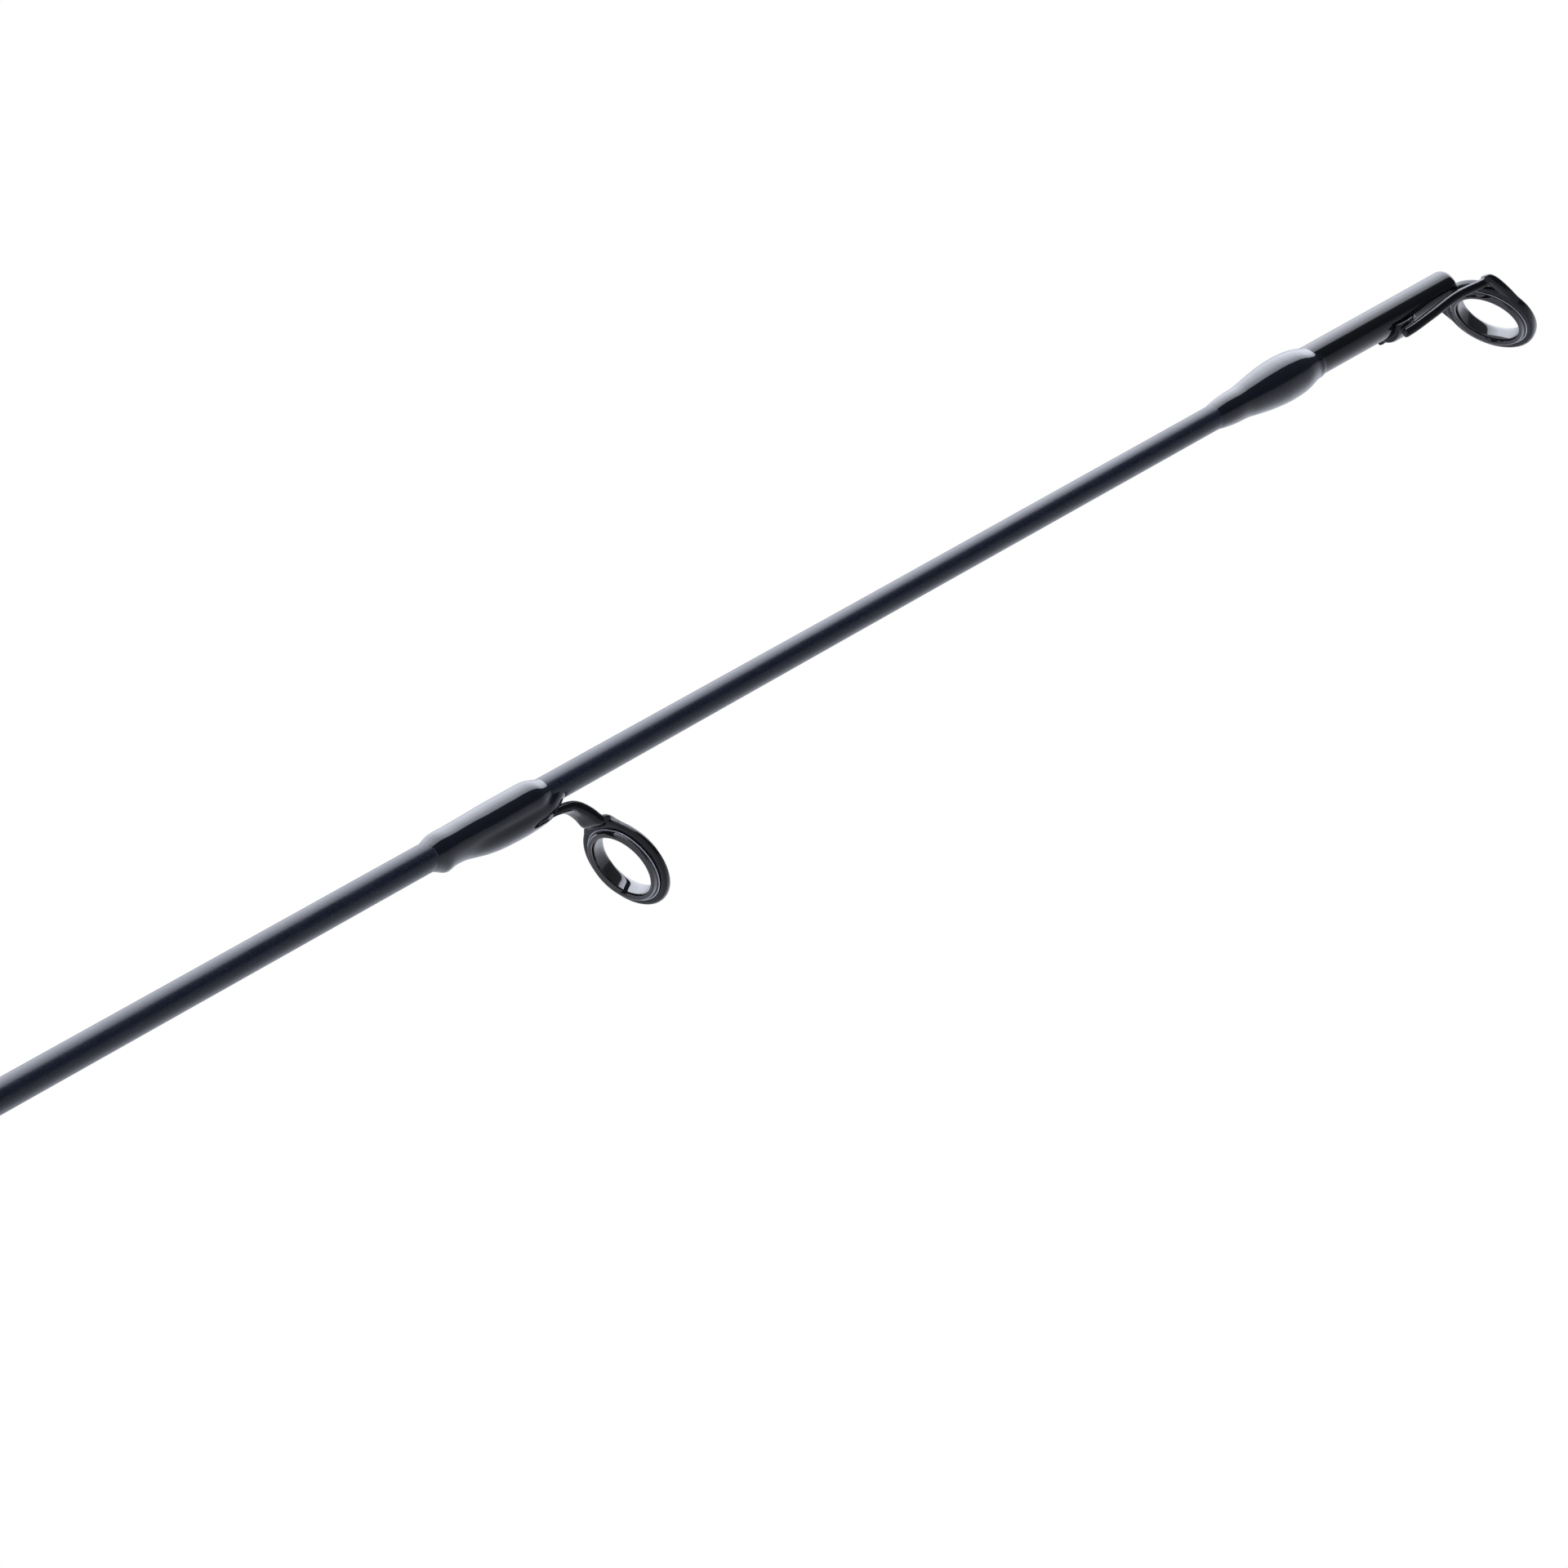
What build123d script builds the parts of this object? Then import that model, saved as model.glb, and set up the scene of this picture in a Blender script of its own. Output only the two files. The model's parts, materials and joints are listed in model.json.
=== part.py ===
from build123d import *
import os
from dataclasses import dataclass
from math import cos, pi, radians, sin

# A two-piece spinning rod with a spinning reel, standing on its butt.
# +Z runs up the rod's axis to the tip, the guides and the reel hang towards -Y,
# and the reel's handle is on +X. Millimetres; the origin is the butt cap's face.

# Blank: (z, outer radius) and (z, bore radius) stations of the two tapered tubes.
TIP_BASE_Z = 805.0
SPIGOT_TOP_Z = 865.0
TIP_BLANK_TOP_Z = 1673.0
TIP_RADIUS = 1.10
BUTT_OUTER = [(4.0, 4.80), (TIP_BASE_Z, 2.62), (SPIGOT_TOP_Z, 2.50)]
BUTT_BORE = [(4.0, 3.90), (SPIGOT_TOP_Z, 1.60)]
TIP_OUTER = [(TIP_BASE_Z, 3.50), (1505.0, 1.316), (1566.0, 1.225), (1604.0, 1.13), (1651.0, TIP_RADIUS),
             (TIP_BLANK_TOP_Z, TIP_RADIUS)]
TIP_BORE = [(TIP_BASE_Z, 2.70), (SPIGOT_TOP_Z + 1, 2.58), (SPIGOT_TOP_Z + 3, 2.20), (1500.0, 0.60)]

# Tip-top: a drawn tube with a stamped frame that carries the last ring.
TUBE_BOTTOM_Z = 1653.4
TUBE_TOP_Z = 1675.4
TUBE_RADIUS = 1.435
TIP_RING_Z = 1678.75
TIP_RING_DROP = 3.96
TIP_RING_TILT = 29.7
TIP_RING_INSERT = 3.5
EAR_HALF_WIDTH = 3.65
EAR_RISE = 4.4
SADDLE_Z = (1666.3, 1668.6)
SADDLE_DROP = 2.1
STRIP = 0.8
TIP_WRAP_Z = (1644.9, 1657.4)

# Ring insert sizes as shares of the insert's outer radius.
HOLE_SHARE = 0.81
BAND_SHARE = 1.22
INSERT_DEPTH = 1.75
FRAME_DEPTH = 0.8
GUIDE_TILT = 13.5

# Handle, from the butt up.
CAP_RADIUS = 14.0
CAP_STRAIGHT_Z = (2.0, 14.0)
CAP_TOP_Z = 18.0
SEAT_Z = (205.0, 350.0)
SEAT_RADIUS = 9.0
FIXED_HOOD_TOP_Z = 243.0
HOOD_Z = (292.0, 318.0)
HOOD_BORE = 9.2
HOOD_RADIUS = 14.2
NUT_Z = (318.4, 330.0)
NUT_RADIUS = 13.2
NUT_FLUTES = 18
FOREGRIP_TOP_Z = 420.0
CHECK_TOP_Z = 425.0

# Reel: the spool's axis is parallel to the rod, the handle's axis runs along X.
FOOT_Z = (230.0, 300.0)
FOOT_HALF_WIDTH = 6.5
FOOT_RADIUS = 12.0
AXIS_Y = -62.0
CRANK_Y = -70.0
CRANK_Z = 255.0
PIVOT_Z = 315.0
CASE_Y = -66.0
CASE_RADIUS = 22.0
CASE_HALF_WIDTH = 13.0
CASE_FRONT_Z = 273.0
CASE_SPAN_Y = (-84.0, -45.0)
CAVITY_SPAN_Y = (-81.0, -47.0)
WALL = 2.2
COVER_X = -10.5
BOSS_X = 17.0
SHAFT_RADIUS = 2.25
SHAFT_BORE = 2.35
PINION_SLEEVE = 4.0
RUNNING_GAP = 0.05
BEARING_RADIUS = 7.5
BEARING_BORE = 4.0
BEARING_LIP = 4.3
PINION_BEARING_RADIUS = 8.0
PINION_BEARING_Z = (270.8, 275.4)
CLUTCH_RADIUS = 12.0
CLUTCH_Z = (275.6, 284.0)
GEAR_TEETH = 40
PINION_TEETH = 8
LEVER_Z = 262.0
LEVER_PIN_Y = (-88.3, -85.4)
OSCILLATION_Y = -60.5
OSCILLATION_Z = 246.9
CRANK_THROW = 4.5
HANDLE_REACH = 50.0
HANDLE_X = (36.0, 40.0)
BAIL_LEAN = 15.0
BAIL_REACH = 40.5
ROLLER_REACH = 16.0
ARM_X = (24.3, 28.3)
ARM_HALF_WIDTH = 8.0
BOSS_RADIUS = 6.5
PIVOT_SCREW = 2.4


def turned(points: list, y: float = 0.0) -> Part:
    """A solid of revolution about the upright line at y, from (radius, z) points."""
    face = make_face(Polyline(*points, points[0]))
    return Pos(0, y, 0) * revolve(Plane.XZ * face, Axis.Z)


def disc_z(radius: float, z0: float, z1: float, x: float = 0.0, y: float = 0.0) -> Part:
    """A cylinder along Z from z0 to z1."""
    return Pos(x, y, (z0 + z1) / 2) * Cylinder(radius, z1 - z0)


def disc_x(radius: float, x0: float, x1: float, y: float, z: float) -> Part:
    """A cylinder along X from x0 to x1."""
    return Pos((x0 + x1) / 2, y, z) * Rotation(0, 90, 0) * Cylinder(radius, x1 - x0)


def block(x: tuple, y: tuple, z: tuple) -> Part:
    """A box between two corners."""
    centre = ((x[0] + x[1]) / 2, (y[0] + y[1]) / 2, (z[0] + z[1]) / 2)
    return Pos(*centre) * Box(x[1] - x[0], y[1] - y[0], z[1] - z[0])


def softened(part: Part, edges: ShapeList, radius: float) -> Part:
    """The part with edges rounded, by less where the full radius doesn't fit."""
    for size in (radius, radius * 0.6, radius * 0.3):
        try:
            return fillet(edges, size)
        except (ValueError, RuntimeError):
            continue
    return part


def radius_at(stations: list, z: float) -> float:
    """Radius of a tapered tube at a height, between its stations."""
    for (z0, r0), (z1, r1) in zip(stations, stations[1:]):
        if z <= z1:
            return r0 + (r1 - r0) * (z - z0) / (z1 - z0)
    return stations[-1][1]


def tapered(stations: list) -> Part:
    """A solid cone stack through (z, radius) stations."""
    bottom, top = stations[0][0], stations[-1][0]
    return turned([(0, bottom)] + [(r, z) for z, r in stations] + [(0, top)])


# ---------------------------------------------------------------- blank

BUTT_SOLID = tapered(BUTT_OUTER)
TIP_SOLID = tapered(TIP_OUTER)


def butt_blank() -> Part:
    return BUTT_SOLID - tapered(BUTT_BORE)


def tip_blank() -> Part:
    return TIP_SOLID - tapered(TIP_BORE)


def ferrule_wrap() -> Part:
    """Thread wrap that stops the open end of the tip section from splitting."""
    low, high = TIP_BASE_Z + 1, TIP_BASE_Z + 58
    r0, r1 = radius_at(TIP_OUTER, low), radius_at(TIP_OUTER, high)
    profile = [(0, low), (r0, low), (r0 + 0.35, low + 2), (r1 + 0.35, high - 2), (r1, high), (0, high)]
    return turned(profile) - TIP_SOLID


# --------------------------------------------------------------- guides


@dataclass(frozen=True)
class Guide:
    """One line guide: where its ring is, how big, and the tube that it is tied to."""

    name: str
    z: float
    drop: float
    insert: float
    stations: tuple
    double_foot: bool = False

    @property
    def scale(self) -> float:
        """Size of the frame's details against the smallest guide's."""
        return 1 + 0.35 * (self.insert / TIP_RING_INSERT - 1)

    @property
    def tube(self) -> float:
        """Radius of the blank under the guide."""
        return radius_at(list(self.stations), self.z)


def ring_place(drop: float, z: float, tilt: float) -> Location:
    """The ring's own plane: local Y points up to the rod, Z through the hole."""
    return Location((0, -drop, z)) * Rotation(-tilt, 0, 0)


def rounded_ring(outer: float, inner: float, depth: float, lip: float) -> Part:
    """A ring with rounded edges."""
    ring = Cylinder(outer, depth) - Cylinder(inner, depth)
    return softened(ring, ring.edges().filter_by(GeomType.CIRCLE), lip)


def ring_insert(insert: float) -> Part:
    """Hard ring with a rounded bore, where the line runs."""
    hole = insert * HOLE_SHARE
    return rounded_ring(insert, hole, INSERT_DEPTH, 0.45 * (insert - hole))


def ring_band(insert: float) -> Part:
    """Stamped band round the insert."""
    return rounded_ring(insert * BAND_SHARE, insert, FRAME_DEPTH, 0.18)


def neck_plate(guide: Guide) -> Part:
    """Flat neck that widens from the foot to the ring."""
    top = (guide.drop - guide.tube - 0.4) / cos(radians(GUIDE_TILT))
    band = guide.insert * BAND_SHARE
    half = 0.95 * guide.scale
    waist = min(top - 1.6, guide.insert * 1.23 + 1.0)
    outline = [(-half, top), (-half * 1.75, waist), (-band * 0.875, band * 0.75), (-band * 0.5, 0),
               (band * 0.5, 0), (band * 0.875, band * 0.75), (half * 1.75, waist), (half, top)]
    plate = extrude(make_face(Polyline(*outline, outline[0])), FRAME_DEPTH / 2, both=True)
    return plate - Cylinder(guide.insert, FRAME_DEPTH)


def foot(guide: Guide, forward: bool) -> Part:
    """Tapered strip that lies on the blank under the wrap."""
    k = guide.scale
    end = 17.0 * k
    top = guide.tube + 0.06
    profile = [(-end, top), (-1.3 * k, top), (-1.3 * k, top + 0.8 * k), (-6.0 * k, top + 0.75 * k),
               (-end, top + 0.15)]
    strip = extrude(Plane.YZ * make_face(Polyline(*[(-h, z) for z, h in profile + profile[:1]])),
                    0.95 * k, both=True)
    flip = mirror(strip, Plane.XY) if forward else strip
    return Pos(0, 0, guide.z + (guide.drop * 0.95 if forward else 0)) * flip


def brace(guide: Guide, side: int) -> Part:
    """Round strut from the front foot to one side of the ring."""
    k = guide.scale
    start = Vector(side * 0.3 * k, -(guide.tube + 0.5 * k), guide.z + guide.drop * 0.95 + 1.6 * k)
    end = Vector(side * guide.insert * 1.10, -guide.drop + guide.insert * 0.15, guide.z)
    line = end - start
    rod = Plane(origin=start, z_dir=line) * Pos(0, 0, line.length / 2) * Cylinder(0.5 * k, line.length)
    core = ring_place(guide.drop, guide.z, GUIDE_TILT) * Cylinder(guide.insert, 4 * k)
    return rod - core


def guide_frame(guide: Guide) -> Part:
    """Stamped frame in one piece: foot, neck and the band round the insert."""
    place = ring_place(guide.drop, guide.z, GUIDE_TILT)
    frame = place * (ring_band(guide.insert) + neck_plate(guide)) + foot(guide, False)
    if guide.double_foot:
        frame = frame + foot(guide, True) + brace(guide, -1) + brace(guide, 1)
    return frame - tapered(list(guide.stations))


def guide_ring(guide: Guide) -> Part:
    return ring_place(guide.drop, guide.z, GUIDE_TILT) * ring_insert(guide.insert)


def foot_wrap(guide: Guide, forward: bool) -> Part:
    """Thread and epoxy over one foot: a round sleeve with a fuller belly over the foot."""
    k = guide.scale
    t = guide.tube
    low, high = -18.5 * k, -4.5 * k
    sleeve = [(0, low), (t + 0.08, low), (t + 0.3 * k, low + 1.8 * k), (t + 0.38 * k, low + 7 * k),
              (t + 0.36 * k, high - 1.6 * k), (t + 0.08, high), (0, high)]
    belly = [(0, low + 1.5 * k), (t, low + 3 * k), (t + 0.35 * k, low + 8 * k), (t + 0.5 * k, high - 2 * k),
             (t + 0.4 * k, high), (0, high)]
    body = turned(sleeve) + turned(belly, -0.7 * k)
    body = mirror(body, Plane.XY) if forward else body
    return Pos(0, 0, guide.z + (guide.drop * 0.95 if forward else 0)) * body


def guide_wrap(guide: Guide, frame: Part) -> Compound:
    """The wraps of one guide, each its own solid, fitted over blank and foot."""
    ends = (False, True) if guide.double_foot else (False,)
    core = tapered(list(guide.stations))
    solids = []
    for forward in ends:
        kept = foot_wrap(guide, forward) - core - frame
        solids.append(max(kept.solids(), key=lambda solid: solid.volume))
    return Compound(children=solids)


def tip_top_ear(side: int) -> Part:
    """Strip that is bent back from the ring plate's corner to the tube's saddle."""
    place = ring_place(TIP_RING_DROP, TIP_RING_Z, TIP_RING_TILT)
    corner = (place * Pos(side * EAR_HALF_WIDTH, EAR_RISE, 0)).position
    heel = Vector(side * TUBE_RADIUS * 0.8, -SADDLE_DROP + 0.45, SADDLE_Z[0] + 0.6)
    line = heel - corner
    across = Vector(-side * 0.25, 1, 0)
    plane = Plane(origin=corner, x_dir=across.cross(line), z_dir=line)
    return plane * Pos(0, 0, line.length / 2) * Box(STRIP, 1.1, line.length + STRIP)


def tip_top_frame() -> Part:
    """Stamped plate round the last ring, with its two ears and the saddle."""
    place = ring_place(TIP_RING_DROP, TIP_RING_Z, TIP_RING_TILT)
    band = TIP_RING_INSERT * BAND_SHARE
    rim = band - 0.25
    outline = [(-rim, 0), (-rim, EAR_RISE), (rim, EAR_RISE), (rim, 0)]
    plate = extrude(make_face(Polyline(*outline, outline[0])), FRAME_DEPTH * 0.4, both=True)
    window = extrude(make_face(Polyline((-2.6, 3.6), (-3.2, 6), (3.2, 6), (2.6, 3.6), (-2.6, 3.6))), 2, both=True)
    plate = plate - Cylinder(TIP_RING_INSERT, 2) - window
    saddle = block((-1.9, 1.9), (-SADDLE_DROP, -0.7), SADDLE_Z)
    tube = disc_z(TUBE_RADIUS, TUBE_BOTTOM_Z, TUBE_TOP_Z)
    frame = place * (ring_band(TIP_RING_INSERT) + plate) + tip_top_ear(-1) + tip_top_ear(1) + saddle
    insert = place * Cylinder(TIP_RING_INSERT, 4)
    return frame - tube - insert


def tip_top_tube() -> Part:
    """Drawn tube with a closed, rounded end over the blank's tip."""
    tube = disc_z(TUBE_RADIUS, TUBE_BOTTOM_Z, TUBE_TOP_Z)
    tube = softened(tube, tube.edges().filter_by(GeomType.CIRCLE).sort_by(Axis.Z)[-1:], 0.7)
    return tube - TIP_SOLID


def tip_top_ring() -> Part:
    return ring_place(TIP_RING_DROP, TIP_RING_Z, TIP_RING_TILT) * ring_insert(TIP_RING_INSERT)


def tip_wrap() -> Part:
    """Thread and epoxy over the end of the tube, tapering down to the blank."""
    low, high = TIP_WRAP_Z
    curve = Spline((1.13, low), (1.45, low + 2.2), (1.9, low + 6.8), (2.04, low + 9.0), (1.85, high - 1.5),
                   (1.46, high))
    face = make_face([curve, Line((1.46, high), (0, high)), Line((0, high), (0, low)), Line((0, low), (1.13, low))])
    body = revolve(Plane.XZ * face, Axis.Z)
    return body - TIP_SOLID - disc_z(TUBE_RADIUS, TUBE_BOTTOM_Z, TUBE_TOP_Z)


GUIDES = [
    Guide("guide_1", 1567.8, 8.3, 3.5, tuple(TIP_OUTER)),
    Guide("guide_2", 1450.0, 9.6, 4.0, tuple(TIP_OUTER)),
    Guide("guide_3", 1300.0, 12.5, 5.0, tuple(TIP_OUTER)),
    Guide("guide_4", 1085.0, 18.5, 8.0, tuple(TIP_OUTER), True),
    Guide("stripper", 725.0, 27.0, 12.5, tuple(BUTT_OUTER), True),
]


# --------------------------------------------------------------- handle


def grip(points: list) -> Part:
    """A foam grip turned to a smooth line through (z, radius) points, on the blank."""
    low, high = points[0][0], points[-1][0]
    curve = Spline(*[(r, z) for z, r in points])
    face = make_face([curve, Line((points[-1][1], high), (0, high)), Line((0, high), (0, low)),
                      Line((0, low), (points[0][1], low))])
    body = revolve(Plane.XZ * face, Axis.Z)
    rims = body.edges().filter_by(GeomType.CIRCLE)
    return softened(body, rims, 1.0) - BUTT_SOLID


def butt_cap() -> Part:
    low, high = CAP_STRAIGHT_Z
    profile = [(0, 0), (CAP_RADIUS - 2, 0), (CAP_RADIUS, low), (CAP_RADIUS, high), (12.6, CAP_TOP_Z),
               (0, CAP_TOP_Z)]
    return turned(profile) - BUTT_SOLID


def rear_grip() -> Part:
    return grip([(CAP_TOP_Z, 12.6), (60, 12.9), (120, 10.9), (175, 11.6), (SEAT_Z[0], 11.2)])


def foregrip() -> Part:
    return grip([(SEAT_Z[1], 11.6), (370, 12.2), (395, 10.6), (FOREGRIP_TOP_Z, 7.2)])


def foot_pocket(z0: float, z1: float, gap: float) -> Part:
    """Room for one end of the reel's foot between the seat and a hood."""
    ring = disc_z(FOOT_RADIUS + gap, z0, z1) - disc_z(SEAT_RADIUS, z0, z1)
    return ring & block((-FOOT_HALF_WIDTH - gap, FOOT_HALF_WIDTH + gap), (-20, 0), (z0, z1))


def seat_body() -> Part:
    """Reel seat: a barrel with a fixed hood at its lower end."""
    low, high = SEAT_Z
    hood = [(0, low), (11.2, low), (12.6, low + 8), (HOOD_RADIUS, FIXED_HOOD_TOP_Z - 10),
            (HOOD_RADIUS - 0.6, FIXED_HOOD_TOP_Z), (0, FIXED_HOOD_TOP_Z)]
    body = turned(hood) + disc_z(SEAT_RADIUS, FIXED_HOOD_TOP_Z - 1, high - 4) + disc_z(11.6, high - 4, high)
    return body - foot_pocket(FOOT_Z[0] - 1.0, FIXED_HOOD_TOP_Z, 0.3) - BUTT_SOLID


def sliding_hood() -> Part:
    """Hood that slides down over the front end of the foot."""
    low, high = HOOD_Z
    profile = [(HOOD_BORE, low), (HOOD_RADIUS - 0.8, low), (HOOD_RADIUS, low + 2), (HOOD_RADIUS - 0.4, high - 8),
               (11.2, high - 1), (11.2, high), (HOOD_BORE, high)]
    return turned(profile) - foot_pocket(low, FOOT_Z[1] + 1.5, 0.4)


def lock_nut() -> Part:
    """Knurled nut that drives the hood."""
    low, high = NUT_Z
    profile = [(HOOD_BORE, low), (NUT_RADIUS - 0.8, low), (NUT_RADIUS, low + 1), (NUT_RADIUS, high - 1),
               (NUT_RADIUS - 0.8, high), (HOOD_BORE, high)]
    groove = disc_z(1.0, low, high, NUT_RADIUS + 0.55)
    cuts = [Rotation(0, 0, 360 * i / NUT_FLUTES) * groove for i in range(NUT_FLUTES)]
    return turned(profile) - cuts


def winding_check() -> Part:
    z = FOREGRIP_TOP_Z
    return turned([(0, z), (6.8, z), (6.4, z + 2), (4.6, CHECK_TOP_Z), (0, CHECK_TOP_Z)]) - BUTT_SOLID


KEEPER_Z = (438.0, 462.0)
KEEPER_WIRE = 0.6
KEEPER_RISE = 6.2


def hook_keeper() -> Part:
    """Bent wire that a hook is parked on, on the side away from the guides."""
    low, high = KEEPER_Z
    tube = radius_at(BUTT_OUTER, low) + KEEPER_WIRE + 0.02
    top = tube + KEEPER_RISE
    points = [(0, tube, low), (0, tube, low + 5), (0, top, low + 8), (0, top, high - 8), (0, tube, high - 5),
              (0, tube, high)]
    path = FilletPolyline(*points, radius=1.4)
    return sweep(Plane(origin=path @ 0, z_dir=path % 0) * Circle(KEEPER_WIRE), path=path) - BUTT_SOLID


def keeper_wraps(keeper: Part) -> Compound:
    """The two short wraps over the keeper's feet."""
    solids = []
    for z0, z1 in ((KEEPER_Z[0] - 1, KEEPER_Z[0] + 5), (KEEPER_Z[1] - 5, KEEPER_Z[1] + 1)):
        core = radius_at(BUTT_OUTER, z0)
        shell = Pos(0, 0.8, (z0 + z1) / 2) * extrude(Ellipse(core + 0.5, core + 1.3), (z1 - z0) / 2, both=True)
        solids.append(max((shell - BUTT_SOLID - keeper).solids(), key=lambda solid: solid.volume))
    return Compound(children=solids)


# ----------------------------------------------------------- reel case


def case_profile(radius: float, front: float, low: float, high: float) -> Face:
    """Side outline of the reel's case: a round back that runs into a square front."""
    corners = [(low, front), (high, front)]
    rim = 0.5
    arcs = [Pos(CASE_Y, CRANK_Z) * Circle(radius)] + [Pos(y, z - rim) * Circle(rim) for y, z in corners]
    return Plane.YZ * make_hull([edge for circle in arcs for edge in circle.edges()])


def case_block(radius: float, front: float, low: float, high: float, x0: float, x1: float) -> Part:
    """The case's outline drawn out along X."""
    body = Pos(x0, 0, 0) * extrude(case_profile(radius, front, low, high), x1 - x0, dir=(1, 0, 0))
    return body & block((x0 - 1, x1 + 1), (-100, -40), (CRANK_Z - radius - 1, front))


def cavity() -> Part:
    """Room inside the case, open at the cover's side."""
    return case_block(CASE_RADIUS - WALL, CASE_FRONT_Z - 3, *CAVITY_SPAN_Y, -CASE_HALF_WIDTH, 11)


COVER_SCREWS = [(-50.0, 266.5), (-50.5, 243.5), (-83.0, 267.0)]


def reel_foot() -> Part:
    """Saddle that the hoods clamp on the seat."""
    low, high = FOOT_Z
    profile = [(SEAT_RADIUS, low), (FOOT_RADIUS - 1.2, low), (FOOT_RADIUS, low + 15), (FOOT_RADIUS, high - 15),
               (FOOT_RADIUS - 1.2, high), (SEAT_RADIUS, high)]
    return turned(profile) & block((-FOOT_HALF_WIDTH, FOOT_HALF_WIDTH), (-20, 0), FOOT_Z)


def reel_stem() -> Part:
    """Thin leg between the foot and the case."""
    y0, y1 = -48.0, -10.5
    outline = [(y0, 240), (y0, 270), (-34, 267), (-20, 272), (y1, 284), (y1, 246), (-20, 250), (-34, 251)]
    stem = extrude(Plane.YZ * make_face(Polyline(*outline, outline[0])), 4.2, both=True)
    return softened(stem, stem.edges().filter_by(Axis.X).sort_by(Axis.Y)[2:6], 6.0)


def reel_body() -> Part:
    """Case, stem and foot in one casting."""
    shell = case_block(CASE_RADIUS, CASE_FRONT_Z, *CASE_SPAN_Y, -CASE_HALF_WIDTH, CASE_HALF_WIDTH)
    shell = softened(shell, shell.faces().sort_by(Axis.X)[-1].edges(), 4.0)
    shell = shell + disc_z(16, CASE_FRONT_Z - 1, 284, 0, AXIS_Y) + disc_x(9, 12, BOSS_X, CRANK_Y, CRANK_Z)
    shell = shell + reel_stem() - cavity() + reel_foot()
    for y, z in COVER_SCREWS:
        shell = shell + disc_x(2.2, COVER_X, 12, y, z) - disc_x(1.0, -13, 0, y, z)
    shell = shell - disc_x(BEARING_RADIUS, 10, BOSS_X - 1, CRANK_Y, CRANK_Z)
    shell = shell - disc_x(BEARING_LIP, 10, BOSS_X + 1, CRANK_Y, CRANK_Z)
    bearing_low, clutch_low = PINION_BEARING_Z[0], CLUTCH_Z[0]
    shell = shell - disc_z(PINION_BEARING_RADIUS, bearing_low, clutch_low + 0.4, 0, AXIS_Y)
    shell = shell - disc_z(4.5, bearing_low - 2.8, clutch_low + 0.4, 0, AXIS_Y)
    shell = shell - disc_z(CLUTCH_RADIUS, clutch_low, CLUTCH_Z[1] + 1, 0, AXIS_Y)
    shell = shell - disc_x(1.6, 10, 12.4, OSCILLATION_Y, OSCILLATION_Z)
    return shell - lever_pin(1.6) - disc_z(SEAT_RADIUS, *SEAT_Z)


def side_cover() -> Part:
    """Cover that closes the case, with the second drive bearing's seat."""
    plate = case_block(CASE_RADIUS - WALL, CASE_FRONT_Z - 3, *CAVITY_SPAN_Y, -CASE_HALF_WIDTH, COVER_X)
    plate = plate + disc_x(9, -BOSS_X, COVER_X, CRANK_Y, CRANK_Z)
    plate = plate - disc_x(BEARING_RADIUS, 1 - BOSS_X, COVER_X, CRANK_Y, CRANK_Z)
    plate = plate - disc_x(BEARING_LIP, -BOSS_X - 1, COVER_X, CRANK_Y, CRANK_Z)
    for y, z in COVER_SCREWS:
        plate = plate - disc_x(1.0, -14, COVER_X, y, z)
    return plate


def cover_screws() -> Compound:
    """Small screws with a cross recess that hold the cover."""
    screws = []
    for y, z in COVER_SCREWS:
        screw = disc_x(1.0, -13, -5, y, z) + disc_x(2.0, -14.3, -13, y, z)
        slot = block((-14.4, -13.8), (y - 1.3, y + 1.3), (z - 0.25, z + 0.25))
        screws.append((screw - slot).solid())
    return Compound(children=screws)


def ball_bearing_x(x0: float, x1: float) -> Part:
    outer = disc_x(BEARING_RADIUS, x0, x1, CRANK_Y, CRANK_Z)
    return outer - disc_x(BEARING_BORE + RUNNING_GAP, x0, x1, CRANK_Y, CRANK_Z)


def drive_bearings() -> Compound:
    left = ball_bearing_x(1 - BOSS_X, -12).solid()
    right = ball_bearing_x(12, BOSS_X - 1).solid()
    return Compound(children=[left, right])


def pinion_bearing() -> Part:
    low, high = PINION_BEARING_Z
    outer = disc_z(PINION_BEARING_RADIUS, low, high, 0, AXIS_Y)
    return outer - disc_z(PINION_SLEEVE + RUNNING_GAP, low, high, 0, AXIS_Y)


def roller_clutch() -> Part:
    """One-way clutch that stops the rotor from turning back."""
    low, high = CLUTCH_Z
    outer = disc_z(CLUTCH_RADIUS, low, high, 0, AXIS_Y)
    return outer - disc_z(PINION_SLEEVE + RUNNING_GAP, low, high, 0, AXIS_Y)


def lever_pin(radius: float) -> Part:
    """Pin of the anti-reverse lever, or its hole in the case."""
    outer, inner = LEVER_PIN_Y
    return Pos(0, (outer + inner) / 2, LEVER_Z) * Rotation(90, 0, 0) * Cylinder(radius, inner - outer)


def anti_reverse_lever() -> Part:
    """Lever under the case that frees the clutch."""
    outline = make_hull((Circle(4.2).edges() + (Pos(0, -9) * Circle(2.2)).edges()))
    tab = Pos(0, LEVER_PIN_Y[0], LEVER_Z) * extrude(Plane.XZ * outline, 2.4)
    knob = block((-1.8, 1.8), (-93.2, -90.5), (LEVER_Z - 10.4, LEVER_Z - 7.4))
    return tab + knob + lever_pin(1.5)


# ---------------------------------------------------------- reel drive


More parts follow.
